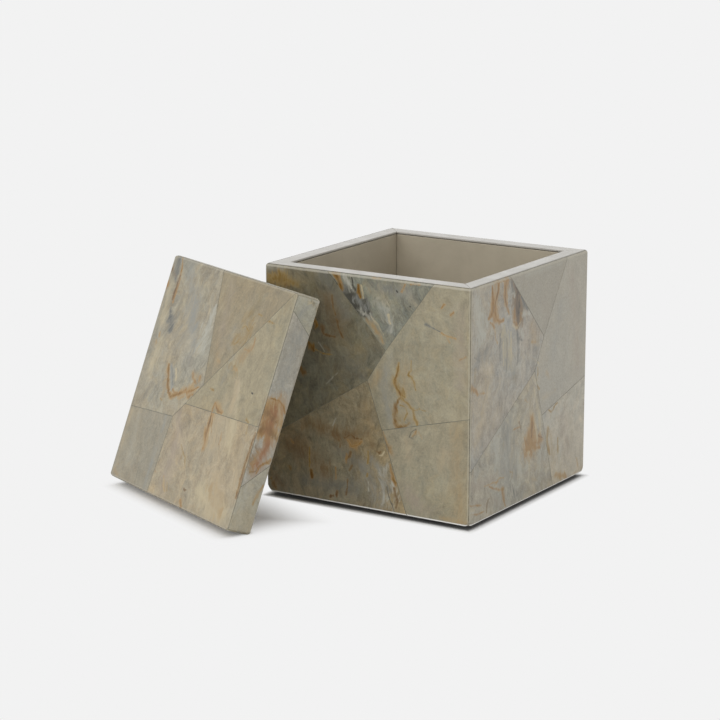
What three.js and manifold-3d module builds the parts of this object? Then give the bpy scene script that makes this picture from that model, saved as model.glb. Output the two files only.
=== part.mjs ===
// Square lidded canister clad in stone veneer, lid off and leaning on one corner of the body
//
// Millimetres, +Z up. The origin is the middle of the felt's underside, on the surface that the
// body stands on. The body's front wall faces -Y and its right wall faces +X.

import * as THREE from 'three';
import { RoundedBoxGeometry } from 'three/addons/geometries/RoundedBoxGeometry.js';
import { mergeVertices } from 'three/addons/utils/BufferGeometryUtils.js';
import Module from 'manifold-3d';

const wasm = await Module();
wasm.setup();

// Driving dimensions
const side = 121;
const body_height = 120;
const lid_thickness = 14.2;
const board_thickness = 7.7;
const floor_thickness = 8;
const tile_thickness = 1.2;
const band_thickness = 1.2;
const arris_radius = 1.6;
const felt_thickness = 1.7;
const felt_inset = 7;
const plug_thickness = 5.7;
const plug_clearance = 0.4;

// Seams and glue lines
const seam_width = 0.3;
const bond_line = 0.3;
const mitre_gap = 0.2;

// How the lid stands: its turn about Z, its lean from upright, how far from its left
// edge it meets the body's corner, and the gap left there
const lid_turn = THREE.MathUtils.degToRad(-23.6);
const lid_lean = THREE.MathUtils.degToRad(20.3);
const lean_place = 65.6;
const lean_gap = 0.3;

// Cuts run past the faces that they cross by this much
const overrun = 2;
const arris_steps = 3;

// What follows from the driving dimensions
const half = side / 2;
const wall = tile_thickness + bond_line + board_thickness;
const board_outer = side - 2 * (tile_thickness + bond_line);
const inside = side - 2 * wall;
const body_foot = felt_thickness + bond_line;
const plug_side = inside - 2 * plug_clearance;
const quarter_turn = Math.PI / 2;

// Seams of the four walls, seen from outside: shares of the wall's width and height.
// near_top and far_top lie on the upper edge, foot on the lower one, left_end and
// right_end on the sides. The knee lies on the line from branch to foot.
const wall_seams_share = {
  front: {
    near_top: [0.31, 1], far_top: [0.825, 1], fork: [0.598, 0.696], branch: [0.509, 0.559],
    left_end: [0, 0.238], foot: [0.703, 0], right_end: [1, 0.459], knee_share: 0.367,
  },
  right: {
    near_top: [0.312, 1], far_top: [0.811, 1], fork: [0.61, 0.69], branch: [0.535, 0.553],
    left_end: [0, 0.231], foot: [0.714, 0], right_end: [1, 0.444], knee_share: 0.376,
  },
  back: {
    near_top: [0.3, 1], far_top: [0.82, 1], fork: [0.605, 0.7], branch: [0.52, 0.562],
    left_end: [0, 0.245], foot: [0.7, 0], right_end: [1, 0.45], knee_share: 0.37,
  },
  left: {
    near_top: [0.318, 1], far_top: [0.815, 1], fork: [0.6, 0.688], branch: [0.515, 0.55],
    left_end: [0, 0.225], foot: [0.708, 0], right_end: [1, 0.455], knee_share: 0.37,
  },
};

// Seams of the lid's face, shares of its width and depth with the lid closed
const lid_seams_share = {
  top_end: [0.417, 1], corner_end: [0.985, 1], hub: [0.359, 0.344], left_end: [0, 0.317],
  foot: [0.335, 0], right_end: [1, 0.438], top_joint_share: 0.26, right_joint_share: 0.107,
};

// Seams of the lid's edges, shares of the edge's length at its lower and its upper arris
const lid_edge_seams_share = {
  first: { low_share: 0.306, high_share: 0.183 },
  second: { low_share: 0.839, high_share: 0.928 },
};

// Finishes
const stone_colours = ['#8f8a7a', '#979180', '#8a8678', '#9c9584', '#878577'];
const board_colour = '#8c8579';
const band_colour = '#a8a49c';
const felt_colour = '#2b2a28';

const stone = (tone) => new THREE.MeshStandardMaterial({
  color: stone_colours[tone % stone_colours.length], roughness: 0.3, metalness: 0,
});
const lacquer = () => new THREE.MeshStandardMaterial({
  color: board_colour, roughness: 0.5, metalness: 0,
});
const pale_lacquer = () => new THREE.MeshStandardMaterial({
  color: band_colour, roughness: 0.4, metalness: 0,
});
const felt = () => new THREE.MeshStandardMaterial({
  color: felt_colour, roughness: 0.95, metalness: 0,
});

// Cutting
function solidOf(geometry) {
  const bare = geometry.clone();
  bare.deleteAttribute('normal');
  bare.deleteAttribute('uv');
  const merged = mergeVertices(bare);
  const mesh = new wasm.Mesh({
    numProp: 3,
    vertProperties: new Float32Array(merged.attributes.position.array),
    triVerts: new Uint32Array(merged.index.array),
  });
  mesh.merge();
  return new wasm.Manifold(mesh);
}

function geometryOf(solid) {
  const mesh = solid.getMesh();
  const geometry = new THREE.BufferGeometry();
  geometry.setAttribute('position', new THREE.BufferAttribute(mesh.vertProperties, 3));
  geometry.setIndex(new THREE.BufferAttribute(mesh.triVerts, 1));
  geometry.computeVertexNormals();
  return geometry;
}

function named(name, geometry, material) {
  const mesh = new THREE.Mesh(geometry, material);
  mesh.name = name;
  return mesh;
}

// A prism of a closed outline, from z = low to z = high
function prism(outline, low, high) {
  const shape = new THREE.Shape(outline.map(([x, y]) => new THREE.Vector2(x, y)));
  const geometry = new THREE.ExtrudeGeometry(shape, { depth: high - low, bevelEnabled: false });
  return geometry.translate(0, 0, low);
}

// Where the lines through two edges meet
function crossing(first, second) {
  const [[ax, ay], [bx, by]] = first;
  const [[cx, cy], [dx, dy]] = second;
  const turn = (bx - ax) * (dy - cy) - (by - ay) * (dx - cx);
  const along = ((cx - ax) * (dy - cy) - (cy - ay) * (dx - cx)) / turn;
  return [ax + along * (bx - ax), ay + along * (by - ay)];
}

// The outline of one tile on a face: seam edges drawn in by half a seam, and edges on
// the face's border run past it
function tileOutline(points, width, height) {
  const edges = points.map((start, index) => {
    const end = points[(index + 1) % points.length];
    const on_border = [[0, 0], [0, width], [1, 0], [1, height]].some(
      ([axis, at]) => start[axis] === at && end[axis] === at,
    );
    const shift = on_border ? -overrun : seam_width / 2;
    const run = [end[0] - start[0], end[1] - start[1]];
    const length = Math.hypot(...run);
    const inward = [(-run[1] / length) * shift, (run[0] / length) * shift];
    return [
      [start[0] + inward[0], start[1] + inward[1]],
      [end[0] + inward[0], end[1] + inward[1]],
    ];
  });
  return edges.map((edge, index) => crossing(edges[(index + edges.length - 1) % edges.length], edge));
}

// A face's veneer before it is cut into tiles: outer side at z = 0, sides that meet
// another veneer mitred inwards, width along x from 0, height along y from 0
function veneer(width, height, mitred) {
  const back_off = tile_thickness;
  const geometry = new THREE.BoxGeometry(width, height, tile_thickness);
  geometry.translate(width / 2, height / 2, -tile_thickness / 2);
  const position = geometry.attributes.position;
  for (let index = 0; index < position.count; index += 1) {
    const inner = position.getZ(index) < -tile_thickness / 2 ? back_off : 0;
    const [x, y] = [position.getX(index), position.getY(index)];
    const gap = mitre_gap / 2;
    if (mitred.left && x < width / 2) position.setX(index, x + gap + inner);
    if (mitred.right && x > width / 2) position.setX(index, x - gap - inner);
    if (mitred.bottom && y < height / 2) position.setY(index, y + gap + inner);
    if (mitred.top && y > height / 2) position.setY(index, y - gap - inner);
  }
  return solidOf(geometry);
}

// Cuts a face's veneer into tiles and rounds the arrises with the envelope
function tilesOf(tiles, width, height, mitred, envelope, prefix, first_tone) {
  const sheet = veneer(width, height, mitred).intersect(envelope);
  return Object.entries(tiles).map(([name, points], index) => {
    const outline = tileOutline(points, width, height);
    const cutter = solidOf(prism(outline, -tile_thickness - overrun, overrun));
    const material = stone(first_tone + index);
    return named(`${prefix}_${name}`, geometryOf(sheet.intersect(cutter)), material);
  });
}

const onWay = ([ax, ay], [bx, by], way) => [ax + (bx - ax) * way, ay + (by - ay) * way];

// The five tiles of a wall, corners given as shares of its width and height
function wallTiles(share) {
  const at = ([across, up]) => [across * side, up * body_height];
  const knee = onWay(share.branch, share.foot, share.knee_share);
  const outlines = {
    upper_left: [share.left_end, share.branch, share.fork, share.near_top, [0, 1]],
    top_wedge: [share.fork, share.far_top, share.near_top],
    upper_right: [share.branch, knee, share.right_end, [1, 1], share.far_top, share.fork],
    lower_right: [knee, share.foot, [1, 0], share.right_end],
    lower_left: [[0, 0], share.foot, share.branch, share.left_end],
  };
  return Object.fromEntries(
    Object.entries(outlines).map(([name, points]) => [name, points.map(at)]),
  );
}

// The five tiles of the lid's face
function lidFaceTiles(share) {
  const at = ([across, up]) => [across * side, up * side];
  const top_joint = onWay(share.hub, share.corner_end, share.top_joint_share);
  const right_joint = onWay(share.hub, share.corner_end, share.right_joint_share);
  const outlines = {
    upper_left: [share.left_end, share.hub, top_joint, share.top_end, [0, 1]],
    top: [top_joint, share.corner_end, share.top_end],
    right: [right_joint, share.right_end, [1, 1], share.corner_end],
    lower_right: [share.foot, [1, 0], share.right_end, right_joint, share.hub],
    lower_left: [[0, 0], share.foot, share.hub, share.left_end],
  };
  return Object.fromEntries(
    Object.entries(outlines).map(([name, points]) => [name, points.map(at)]),
  );
}

// The three tiles of one edge of the lid
function lidEdgeTiles({ first, second }) {
  const at = (share, height) => [share * side, height];
  const low_first = at(first.low_share, 0);
  const high_first = at(first.high_share, lid_thickness);
  const low_second = at(second.low_share, 0);
  const high_second = at(second.high_share, lid_thickness);
  return {
    a: [[0, 0], low_first, high_first, [0, lid_thickness]],
    b: [low_first, low_second, high_second, high_first],
    c: [low_second, [side, 0], [side, lid_thickness], high_second],
  };
}

// A wall's frame: x along the wall from its left end, y up from its foot, z outwards
function wallFrame(index, foot) {
  const turned = new THREE.Group();
  turned.rotation.z = index * quarter_turn;
  const frame = new THREE.Group();
  frame.position.set(-half, -half, foot);
  frame.rotation.x = quarter_turn;
  turned.add(frame);
  return { turned, frame };
}

// A mitred strip along one side of a square, seen from above: the outer side is
// `outer` long, and the strip is `width` wide and `height` high
function mitredStrip(name, outer, width, height, low, index, material) {
  const reach = outer / 2;
  const inner = reach - width;
  const gap = mitre_gap / 2;
  const outline = [
    [-reach + gap, -reach], [reach - gap, -reach], [inner - gap, -inner], [-inner + gap, -inner],
  ];
  const strip = named(name, prism(outline, low, low + height), material);
  const turned = new THREE.Group();
  turned.rotation.z = index * quarter_turn;
  turned.add(strip);
  return turned;
}

const wall_names = ['front', 'right', 'back', 'left'];

// The body: carcass, rim bands, wall tiles and the felt under it
function makeBody() {
  const body = new THREE.Group();
  const board_height = body_height - band_thickness - bond_line;
  const board_top = body_foot + board_height;
  const envelope = solidOf(
    new RoundedBoxGeometry(side, body_height, side, arris_steps, arris_radius)
      .translate(half, body_height / 2, -half),
  );
  wall_names.forEach((wall_name, index) => {
    body.add(mitredStrip(`wall_board_${wall_name}`, board_outer, board_thickness,
      board_height, body_foot, index, lacquer()));
    body.add(mitredStrip(`rim_band_${wall_name}`, board_outer, board_thickness,
      band_thickness, board_top + bond_line, index, pale_lacquer()));
    const { turned, frame } = wallFrame(index, body_foot);
    const tiles = tilesOf(wallTiles(wall_seams_share[wall_name]), side, body_height,
      { left: true, right: true }, envelope, `${wall_name}_tile`, index);
    frame.add(...tiles);
    body.add(turned);
  });

  const floor_side = inside - 2 * bond_line;
  const floor_board = named('floor_board',
    new THREE.BoxGeometry(floor_side, floor_side, floor_thickness), lacquer());
  floor_board.position.z = body_foot + floor_thickness / 2;

  const felt_side = side - 2 * felt_inset;
  const base_felt = named('base_felt',
    new THREE.BoxGeometry(felt_side, felt_side, felt_thickness), felt());
  base_felt.position.z = felt_thickness / 2;
  body.add(floor_board, base_felt);
  return body;
}

// The lid in its own frame: closed, its underside at z = 0 and its middle on the axis
function makeLid() {
  const lid = new THREE.Group();
  const core_height = lid_thickness - tile_thickness - bond_line;
  const lid_board = named('lid_board',
    new THREE.BoxGeometry(board_outer, board_outer, core_height), lacquer());
  lid_board.position.z = core_height / 2;

  const lid_plug = named('lid_plug',
    new THREE.BoxGeometry(plug_side, plug_side, plug_thickness), lacquer());
  lid_plug.position.z = -bond_line - plug_thickness / 2;
  lid.add(lid_board, lid_plug);

  const face = new THREE.Group();
  face.position.set(-half, -half, lid_thickness);
  const slab = new RoundedBoxGeometry(side, side, lid_thickness, arris_steps, arris_radius);
  const face_envelope = solidOf(slab.clone().translate(half, half, -lid_thickness / 2));
  face.add(...tilesOf(lidFaceTiles(lid_seams_share), side, side,
    { left: true, right: true, top: true, bottom: true }, face_envelope, 'lid_tile', 1));
  lid.add(face);

  const edge_envelope = solidOf(
    slab.clone().rotateX(-quarter_turn).translate(half, lid_thickness / 2, -half),
  );
  wall_names.forEach((edge_name, index) => {
    const { turned, frame } = wallFrame(index, 0);
    frame.add(...tilesOf(lidEdgeTiles(lid_edge_seams_share), side, lid_thickness,
      { left: true, right: true, top: true }, edge_envelope, `lid_${edge_name}_edge_tile`, index));
    lid.add(turned);
  });
  return lid;
}

// Stands the lid on its front edge, with the rounded lower arris on the ground. The plug
// comes within lean_gap of the body's front left corner at its far edge, or at the top of
// the corner where the lid is taller than the body.
function leanLid(lid) {
  const plug_depth = plug_thickness + bond_line;
  const sunk = arris_radius * (Math.cos(lid_lean) + Math.sin(lid_lean) - 1);
  const corner_top = body_foot + body_height - arris_radius;
  const top_reach = (corner_top + sunk + plug_depth * Math.sin(lid_lean)) / Math.cos(lid_lean);
  const plug_reach = Math.min(half + plug_side / 2, top_reach);
  const centre = half - arris_radius;
  const corner_along = -centre * (Math.cos(lid_turn) + Math.sin(lid_turn));
  const corner_back = -centre * (Math.cos(lid_turn) - Math.sin(lid_turn)) - arris_radius;
  const back = corner_back - lean_gap
    - plug_reach * Math.sin(lid_lean) - plug_depth * Math.cos(lid_lean);

  const tilted = new THREE.Group();
  tilted.position.set(corner_along - lean_place, back, -sunk);
  tilted.rotation.x = quarter_turn - lid_lean;
  lid.position.set(half, half, 0);
  tilted.add(lid);

  const turned = new THREE.Group();
  turned.rotation.z = lid_turn;
  turned.add(tilted);
  return turned;
}

const canister = new THREE.Group();
canister.add(makeBody(), leanLid(makeLid()));

export default canister;
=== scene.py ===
# %% [markdown]
# # A stone-clad canister with its lid off
#
# The canister is a square wooden box about 12 cm across, clad in thin tiles of polished stone
# that meet in hairline seams. Its lid lifts off and leans on one corner of the body.
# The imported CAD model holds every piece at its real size, so it comes first: all that follows
# is measured from it and dressed round it.

# %% Load the frame
import math
import random

import bmesh
import bpy
from mathutils import Matrix, Vector


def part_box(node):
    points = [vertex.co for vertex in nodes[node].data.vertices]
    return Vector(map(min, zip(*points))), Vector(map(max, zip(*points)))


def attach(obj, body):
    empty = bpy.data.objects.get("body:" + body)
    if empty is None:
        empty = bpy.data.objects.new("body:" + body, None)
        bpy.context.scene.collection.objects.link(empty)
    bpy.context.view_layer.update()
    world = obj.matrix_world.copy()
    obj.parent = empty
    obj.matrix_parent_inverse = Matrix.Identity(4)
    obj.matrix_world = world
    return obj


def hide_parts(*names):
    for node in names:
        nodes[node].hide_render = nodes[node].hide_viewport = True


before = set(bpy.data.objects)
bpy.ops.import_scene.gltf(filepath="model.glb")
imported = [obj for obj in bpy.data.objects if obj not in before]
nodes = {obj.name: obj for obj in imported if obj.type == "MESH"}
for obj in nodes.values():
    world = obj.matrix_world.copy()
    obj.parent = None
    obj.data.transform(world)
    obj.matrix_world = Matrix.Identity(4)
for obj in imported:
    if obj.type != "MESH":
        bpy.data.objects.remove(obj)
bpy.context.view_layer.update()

# %% [markdown]
# ## The camera
#
# A product shot like this one is taken with a long lens from a little above the object, so
# that its upright edges stay nearly parallel. The place and the lens come from fitting the
# box's edges to the photograph. The camera looks along its own -Z, so a track quaternion turns
# that axis onto the line of sight.

# %% Set the camera
camera_place = Vector((0.64733, -1.07569, 0.36232))
camera_azimuth = math.radians(32.654)
camera_elevation = math.radians(13.232)
camera_lens = 124.43
camera_sensor = 36.0
camera_reach = 20.0

line_of_sight = Vector((
    -math.sin(camera_azimuth) * math.cos(camera_elevation),
    math.cos(camera_azimuth) * math.cos(camera_elevation),
    -math.sin(camera_elevation),
))


def new_object(name, data):
    """An object with this data, linked to the scene."""
    thing = bpy.data.objects.new(name, data)
    bpy.context.scene.collection.objects.link(thing)
    return thing


def aim(thing, direction):
    """Turns a camera or a lamp, which look along their own -Z, to a direction."""
    thing.rotation_mode = "QUATERNION"
    thing.rotation_quaternion = direction.to_track_quat("-Z", "Y")


camera_data = bpy.data.cameras.new("studio_camera")
camera_data.lens = camera_lens
camera_data.sensor_width = camera_sensor
camera_data.clip_end = camera_reach
camera = new_object("studio_camera", camera_data)
camera.location = camera_place
aim(camera, line_of_sight)
bpy.context.scene.camera = camera
print("camera looks along", [round(x, 3) for x in line_of_sight])

# %% [markdown]
# ## Measure the body
#
# The stone pieces are modelled again with finer rounding, so their sizes are read from the CAD
# nodes: the outer width, the height, the foot that the felt leaves under the walls and the
# thickness of a tile. Nothing is typed twice.

# %% Read the body's sizes
side = 2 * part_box("right_tile_upper_right")[1].x
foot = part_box("front_tile_lower_left")[0].z
body_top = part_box("front_tile_top_wedge")[1].z
body_height = body_top - foot
wedge_low, wedge_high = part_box("front_tile_top_wedge")
tile_thickness = wedge_high.y - wedge_low.y
half = side / 2
arris_radius = 0.0016
print(f"side {side:.4f}, height {body_height:.4f}, foot {foot:.4f}, tile {tile_thickness:.4f}")

# %% [markdown]
# ## Find the lid's own frame
#
# The lid leans, so its faces follow no world axis. Its core board is a plain slab, and the
# slab's largest face gives the direction that the lid faces. The board's bottom edge is level,
# so the other two axes follow from that direction and the vertical. In this frame the lid lies
# flat as if it were closed, which makes every later step simple.

# %% Build the lid's frame
least_upward = 0.1


def largest_face_normal(node):
    """The normal of a node's largest triangle that looks upwards."""
    upward = [face for face in node.data.polygons if face.normal.z > least_upward]
    return max(upward, key=lambda face: face.area).normal.copy()


lid_out = largest_face_normal(nodes["lid_board"])
lid_across = Vector((0, 0, 1)).cross(lid_out).normalized()
lid_up = lid_out.cross(lid_across)
lid_turn = Matrix((lid_across, lid_up, lid_out)).transposed().to_4x4()


def span_along(names, axis):
    """The lowest and highest place of some nodes along a direction."""
    places = [vertex.co.dot(axis) for name in names for vertex in nodes[name].data.vertices]
    return min(places), max(places)


lid_names = [name for name in nodes if name.startswith("lid_") and name != "lid_plug"]
across_low, across_high = span_along(lid_names, lid_across)
up_low, up_high = span_along(lid_names, lid_up)
out_low, out_high = span_along(lid_names, lid_out)
lid_thickness = out_high - out_low
lid_middle = ((across_low + across_high) / 2, (up_low + up_high) / 2, out_low)
lid_frame = lid_turn @ Matrix.Translation(lid_middle)
print(f"lid {across_high - across_low:.4f} x {up_high - up_low:.4f} x {lid_thickness:.4f},",
      f"leans {math.degrees(math.asin(lid_out.z)):.1f} degrees")

# %% [markdown]
# ## Frames for the faces
#
# A stone mason works on one face at a time, and so does this script. Each face gets a frame
# with x along its lower edge, y up the face and z straight out of it. The four walls are one
# frame turned in quarter turns, and the lid's four edges are the same frame set into the lid.

# %% Place a frame on every face
wall_names = ["front", "right", "back", "left"]


def wall_frame(index, low):
    """x along wall number index from its left end seen from outside, y up from low, z out."""
    turned = Matrix.Rotation(index * math.pi / 2, 4, "Z")
    placed = Matrix.Translation((-half, -half, low)) @ Matrix.Rotation(math.pi / 2, 4, "X")
    return turned @ placed


face_frames = {}
for index, wall_name in enumerate(wall_names):
    face_frames[f"{wall_name}_tile"] = wall_frame(index, foot)
    face_frames[f"lid_{wall_name}_edge_tile"] = lid_frame @ wall_frame(index, 0)
face_frames["lid_tile"] = lid_frame @ Matrix.Translation((-half, -half, lid_thickness))
print("faces:", ", ".join(face_frames))

# %% [markdown]
# ## The rounded block
#
# All tiles are ground and polished after they are glued on, so the rounding runs over the
# seams without a break. The way to get that is to round one solid block and then saw the tiles
# out of it. A bevel on all twelve edges of a cube gives the block, with enough segments that
# the arris shines in one smooth line. Wear has rounded some corners more: the body's at its
# foot, and the lid's upright ones. A few flat cuts side by side grind those down.

# %% Make a rounded block
arris_segments = 8
round_profile = 0.5
foot_corner_inset, foot_corner_height = 0.0052, 0.0088
lid_corner_radius = 0.0038
grinding_angles = (15, 30, 45, 60, 75)
corner_signs = ((1, 1), (1, -1), (-1, 1), (-1, -1))
cut_distance = 1e-7


def everything_of(work):
    """All the corners, edges and faces of a bmesh, as its tools ask for them."""
    return work.verts[:] + work.edges[:] + work.faces[:]


def split(work, point, normal, clear_outer):
    """Splits a mesh along a plane and may take away what lies outside it."""
    return bmesh.ops.bisect_plane(work, geom=everything_of(work), dist=cut_distance,
                                  plane_co=point, plane_no=normal, clear_outer=clear_outer)


def saw(solid, planes):
    """Cuts a closed solid with each plane, keeps the inner side and closes the cut."""
    for point, normal in planes:
        cut = split(solid, point, normal, True)
        rim = [item for item in cut["geom_cut"] if isinstance(item, bmesh.types.BMEdge)]
        if rim:
            bmesh.ops.contextual_create(solid, geom=rim)
    bmesh.ops.recalc_face_normals(solid, faces=solid.faces)


def grinding_cuts():
    """The run and rise of each flat cut, with the signs of the corner that it grinds."""
    for angle in grinding_angles:
        for x, y in corner_signs:
            yield math.cos(math.radians(angle)), math.sin(math.radians(angle)), x, y


def upright_corner_planes(sunk):
    """Planes that round the four upright corners."""
    radius, reach = lid_corner_radius - sunk, half - sunk
    for run, rise, x, y in grinding_cuts():
        at = Vector((x * (reach - radius * (1 - run)), y * (reach - radius * (1 - rise)), 0))
        yield at, Vector((x * run, y * rise, 0))


def foot_corner_planes(sunk):
    """Planes that round the four corners at the foot, taller than they are deep."""
    inset, tall = foot_corner_inset - sunk, foot_corner_height - sunk
    for run, rise, x, y in grinding_cuts():
        reach = half - sunk - inset * (1 - run) / 2
        at = Vector((x * reach, y * reach, foot + sunk + tall * (1 - rise)))
        yield at, Vector((x * run / inset, y * run / inset, -rise / tall)).normalized()


def round_edges(work, radius, segments, clamp):
    """Rounds every edge of a mesh."""
    bmesh.ops.bevel(work, geom=work.edges[:], offset=radius, segments=segments,
                    profile=round_profile, affect="EDGES", material=-1, clamp_overlap=clamp)


def rounded_block(height, low, sunk, corner_planes):
    """A block of the canister's width with rounded arrises, drawn in by sunk all round."""
    block = bmesh.new()
    bmesh.ops.create_cube(block, size=1.0)
    width = side - 2 * sunk
    bmesh.ops.scale(block, vec=(width, width, height - 2 * sunk), verts=block.verts)
    bmesh.ops.translate(block, vec=(0, 0, low + height / 2), verts=block.verts)
    round_edges(block, arris_radius - sunk, arris_segments, False)
    saw(block, corner_planes(sunk))
    return block


def body_block(sunk=0.0):
    """The body's outer skin as one solid block."""
    return rounded_block(body_height, foot, sunk, foot_corner_planes)


def lid_block(sunk=0.0):
    """The lid's outer skin as one solid block, in its lean."""
    block = rounded_block(lid_thickness, 0, sunk, upright_corner_planes)
    block.transform(lid_frame)
    return block


trial_block = body_block()
print("faces on the rounded block:", len(trial_block.faces))
trial_block.free()

# %% [markdown]
# ## Saw cuts
#
# Each tile is convex, so it is what is left of the block after a few straight cuts. The cuts
# are read from the CAD tile: every flat side that doesn't look outwards was made by a saw.
# Only a plane with the whole tile on one side counts, which keeps slivers from giving a
# false one.

# %% Read the cuts
cut_tolerance = 2e-5
least_cut_area = 1e-8
most_outward = 0.05
same_way = 0.999


def cut_planes(node, outward):
    """Point and normal of each sawn side of a CAD tile."""
    corners = [vertex.co.copy() for vertex in node.data.vertices]
    planes = []
    for face in sorted(node.data.polygons, key=lambda face: -face.area):
        normal = face.normal.copy()
        if normal.dot(outward) > most_outward or face.area < least_cut_area:
            continue
        point = face.center.copy()
        known = any(normal.dot(other) > same_way
                    and abs((point - at).dot(other)) < cut_tolerance for at, other in planes)
        outside = any((corner - point).dot(normal) > cut_tolerance for corner in corners)
        if not known and not outside:
            planes.append((point, normal))
    return planes


trial_planes = cut_planes(nodes["front_tile_top_wedge"], Vector((0, -1, 0)))
print("cuts for the front wedge:", len(trial_planes))

# %% [markdown]
# ## From mesh to piece
#
# A finished mesh becomes an object at the origin that rides on the body or on the lid. Broad
# flat sides next to a narrow rounding shade badly with plain smooth normals, because the
# rounding bends the light on the flat. Sharp edges are marked by their angle, and a Weighted
# Normal modifier lets the large faces set the direction.

# %% Turn a mesh into a piece
sharp_angle = math.radians(30)


def finished_mesh(name, mesh_work):
    """The mesh of a bmesh, which is freed."""
    mesh = bpy.data.meshes.new(name)
    mesh_work.to_mesh(mesh)
    mesh_work.free()
    return mesh


def add_piece(name, mesh_work, body, replaced=()):
    """Links a finished bmesh as a piece that rides on a body."""
    for edge in mesh_work.edges:
        edge.smooth = len(edge.link_faces) < 2 or edge.calc_face_angle() < sharp_angle
    for face in mesh_work.faces:
        face.smooth = True
    piece = new_object(name, finished_mesh(name, mesh_work))
    even = piece.modifiers.new("even_shading", "WEIGHTED_NORMAL")
    even.keep_sharp = True
    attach(piece, body)
    if replaced:
        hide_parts(*replaced)
    return piece


def body_of(name):
    """The body that a piece moves with."""
    return "lid" if name.startswith("lid_") else "body"


# %% [markdown]
# ## A map of each face
#
# Stains and veins are placed on a face the way a map is: a share of its width and a share of
# its height. The map is stored on the tiles as a UV layer, flat from the front, so the pattern
# runs over the arris like the real stone. Along the lid's edges both directions are measured
# in widths, which keeps the grain from being squashed.

# %% Lay the map on a mesh
map_name = "face_map"


def map_size(face_name):
    """How many metres one unit of the map is, across and up."""
    on_wall = not face_name.startswith("lid_")
    return side, body_height if on_wall else side


def lay_map(mesh_work, face_name):
    """Stores each corner's place on the face as a UV layer."""
    across, up = map_size(face_name)
    to_face = face_frames[face_name].inverted()
    layer = mesh_work.loops.layers.uv.new(map_name)
    for face in mesh_work.faces:
        for loop in face.loops:
            place = to_face @ loop.vert.co
            loop[layer].uv = (place.x / across, place.y / up)


# %% [markdown]
# ## Saw out the tiles
#
# With the block, the cuts and the map in hand, each tile takes one short pass. Its volume is
# set against the CAD tile's, so a wrong cut would show at once in the numbers.

# %% Make the stone tiles
def outward_of(face_name):
    """The direction that a face looks."""
    return face_frames[face_name].to_3x3().col[2].normalized()


def loose_volume(node):
    """The volume inside a closed shell of loose triangles."""
    total = 0.0
    for face in node.data.polygons:
        a, b, c = (node.data.vertices[i].co for i in face.vertices)
        total += a.dot(b.cross(c)) / 6
    return total


def face_of(name):
    """The face that a tile is glued to."""
    return next(face for face in face_frames if name.startswith(f"{face}_"))


tile_names = sorted(name for name in nodes if "_tile_" in name)
tiles = {}
volume_shares = []
for name in tile_names:
    face_name = face_of(name)
    tile_work = lid_block() if name.startswith("lid_") else body_block()
    saw(tile_work, cut_planes(nodes[name], outward_of(face_name)))
    volume_shares.append(tile_work.calc_volume() / loose_volume(nodes[name]))
    lay_map(tile_work, face_name)
    tiles[name] = add_piece(f"{name}_stone", tile_work, body_of(name), [name])
print(len(tiles), "tiles, volume as a share of the CAD tile's:",
      round(min(volume_shares), 4), "to", round(max(volume_shares), 4))

# %% [markdown]
# ## Resin in the seams
#
# Between the tiles runs a hairline of dark resin, a little below the polish. It is what is left
# of a slightly smaller block's skin once every tile's outline is taken away from it, so it
# follows the seams, their forks and the mitred arrises by itself. Solidify then gives the thin
# strips their depth.

# %% Make the seam resin
resin_sink = 0.00004
resin_depth = 0.0009
least_outward = 0.02
merge_distance = 1e-6
resin_flat_angle = math.radians(0.5)


def mitre_planes(face_name):
    """Planes that bound a face's veneer: mitres where another veneer meets it, and a back."""
    high = lid_thickness if face_name.endswith("edge_tile") else side
    local = [((0, 0, 0), (-1, 0, -1)), ((side, 0, 0), (1, 0, -1)),
             ((0, 0, -tile_thickness), (0, 0, -1))]
    if face_name.startswith("lid_"):
        local.append(((0, high, 0), (0, 1, -1)))
    if face_name == "lid_tile":
        local.append(((0, 0, 0), (0, -1, -1)))
    placed = face_frames[face_name]
    turned = placed.to_3x3()
    return [(placed @ Vector(at), (turned @ Vector(normal)).normalized()) for at, normal in local]


def inside_all(point, planes):
    """Whether a point lies on the inner side of every plane."""
    return all((point - at).dot(normal) < 0 for at, normal in planes)


def join_flat_parts(work, flat_angle):
    """Merges corners that lie together and joins neighbours that lie flat."""
    bmesh.ops.remove_doubles(work, verts=work.verts, dist=merge_distance)
    bmesh.ops.dissolve_limit(work, angle_limit=flat_angle, verts=work.verts, edges=work.edges)


def seam_resin(face_name):
    """What is left of a face's skin between its tiles, with a depth."""
    on_lid = face_name.startswith("lid_")
    outward = outward_of(face_name)
    work = lid_block(resin_sink) if on_lid else body_block(resin_sink)
    away = [face for face in work.faces if face.normal.dot(outward) < least_outward]
    bmesh.ops.delete(work, geom=away, context="FACES")
    for at, normal in mitre_planes(face_name):
        split(work, at, normal, True)
    for name in tile_names:
        if face_of(name) != face_name:
            continue
        planes = cut_planes(nodes[name], outward)
        for at, normal in planes:
            split(work, at, normal, False)
        covered = [face for face in work.faces if inside_all(face.calc_center_median(), planes)]
        bmesh.ops.delete(work, geom=covered, context="FACES")
    join_flat_parts(work, resin_flat_angle)
    bmesh.ops.solidify(work, geom=work.faces[:], thickness=resin_depth)
    bmesh.ops.recalc_face_normals(work, faces=work.faces)
    return work


resins = {}
for face_name in face_frames:
    resin_work = seam_resin(face_name)
    lay_map(resin_work, face_name)
    resin_name = face_name.replace("_tile", "_seam_resin")
    volume = round(resin_work.calc_volume() * 1e9, 1)
    print(resin_name, "faces", len(resin_work.faces), "volume mm3", volume)
    resins[face_name] = add_piece(resin_name, resin_work, body_of(face_name))

# %% [markdown]
# ## Boards with eased edges
#
# The boards, the rim bands, the lid's plug and the felt are plain in shape, and the CAD nodes
# have it already. What a cabinet maker adds is an eased edge, which catches a thin line of
# light. A copy of the node's mesh is merged, its flat triangles are joined, and a small bevel
# goes round every edge. The wall boards reach the foot, so they lose the same worn corners as
# the stone outside them.

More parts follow.
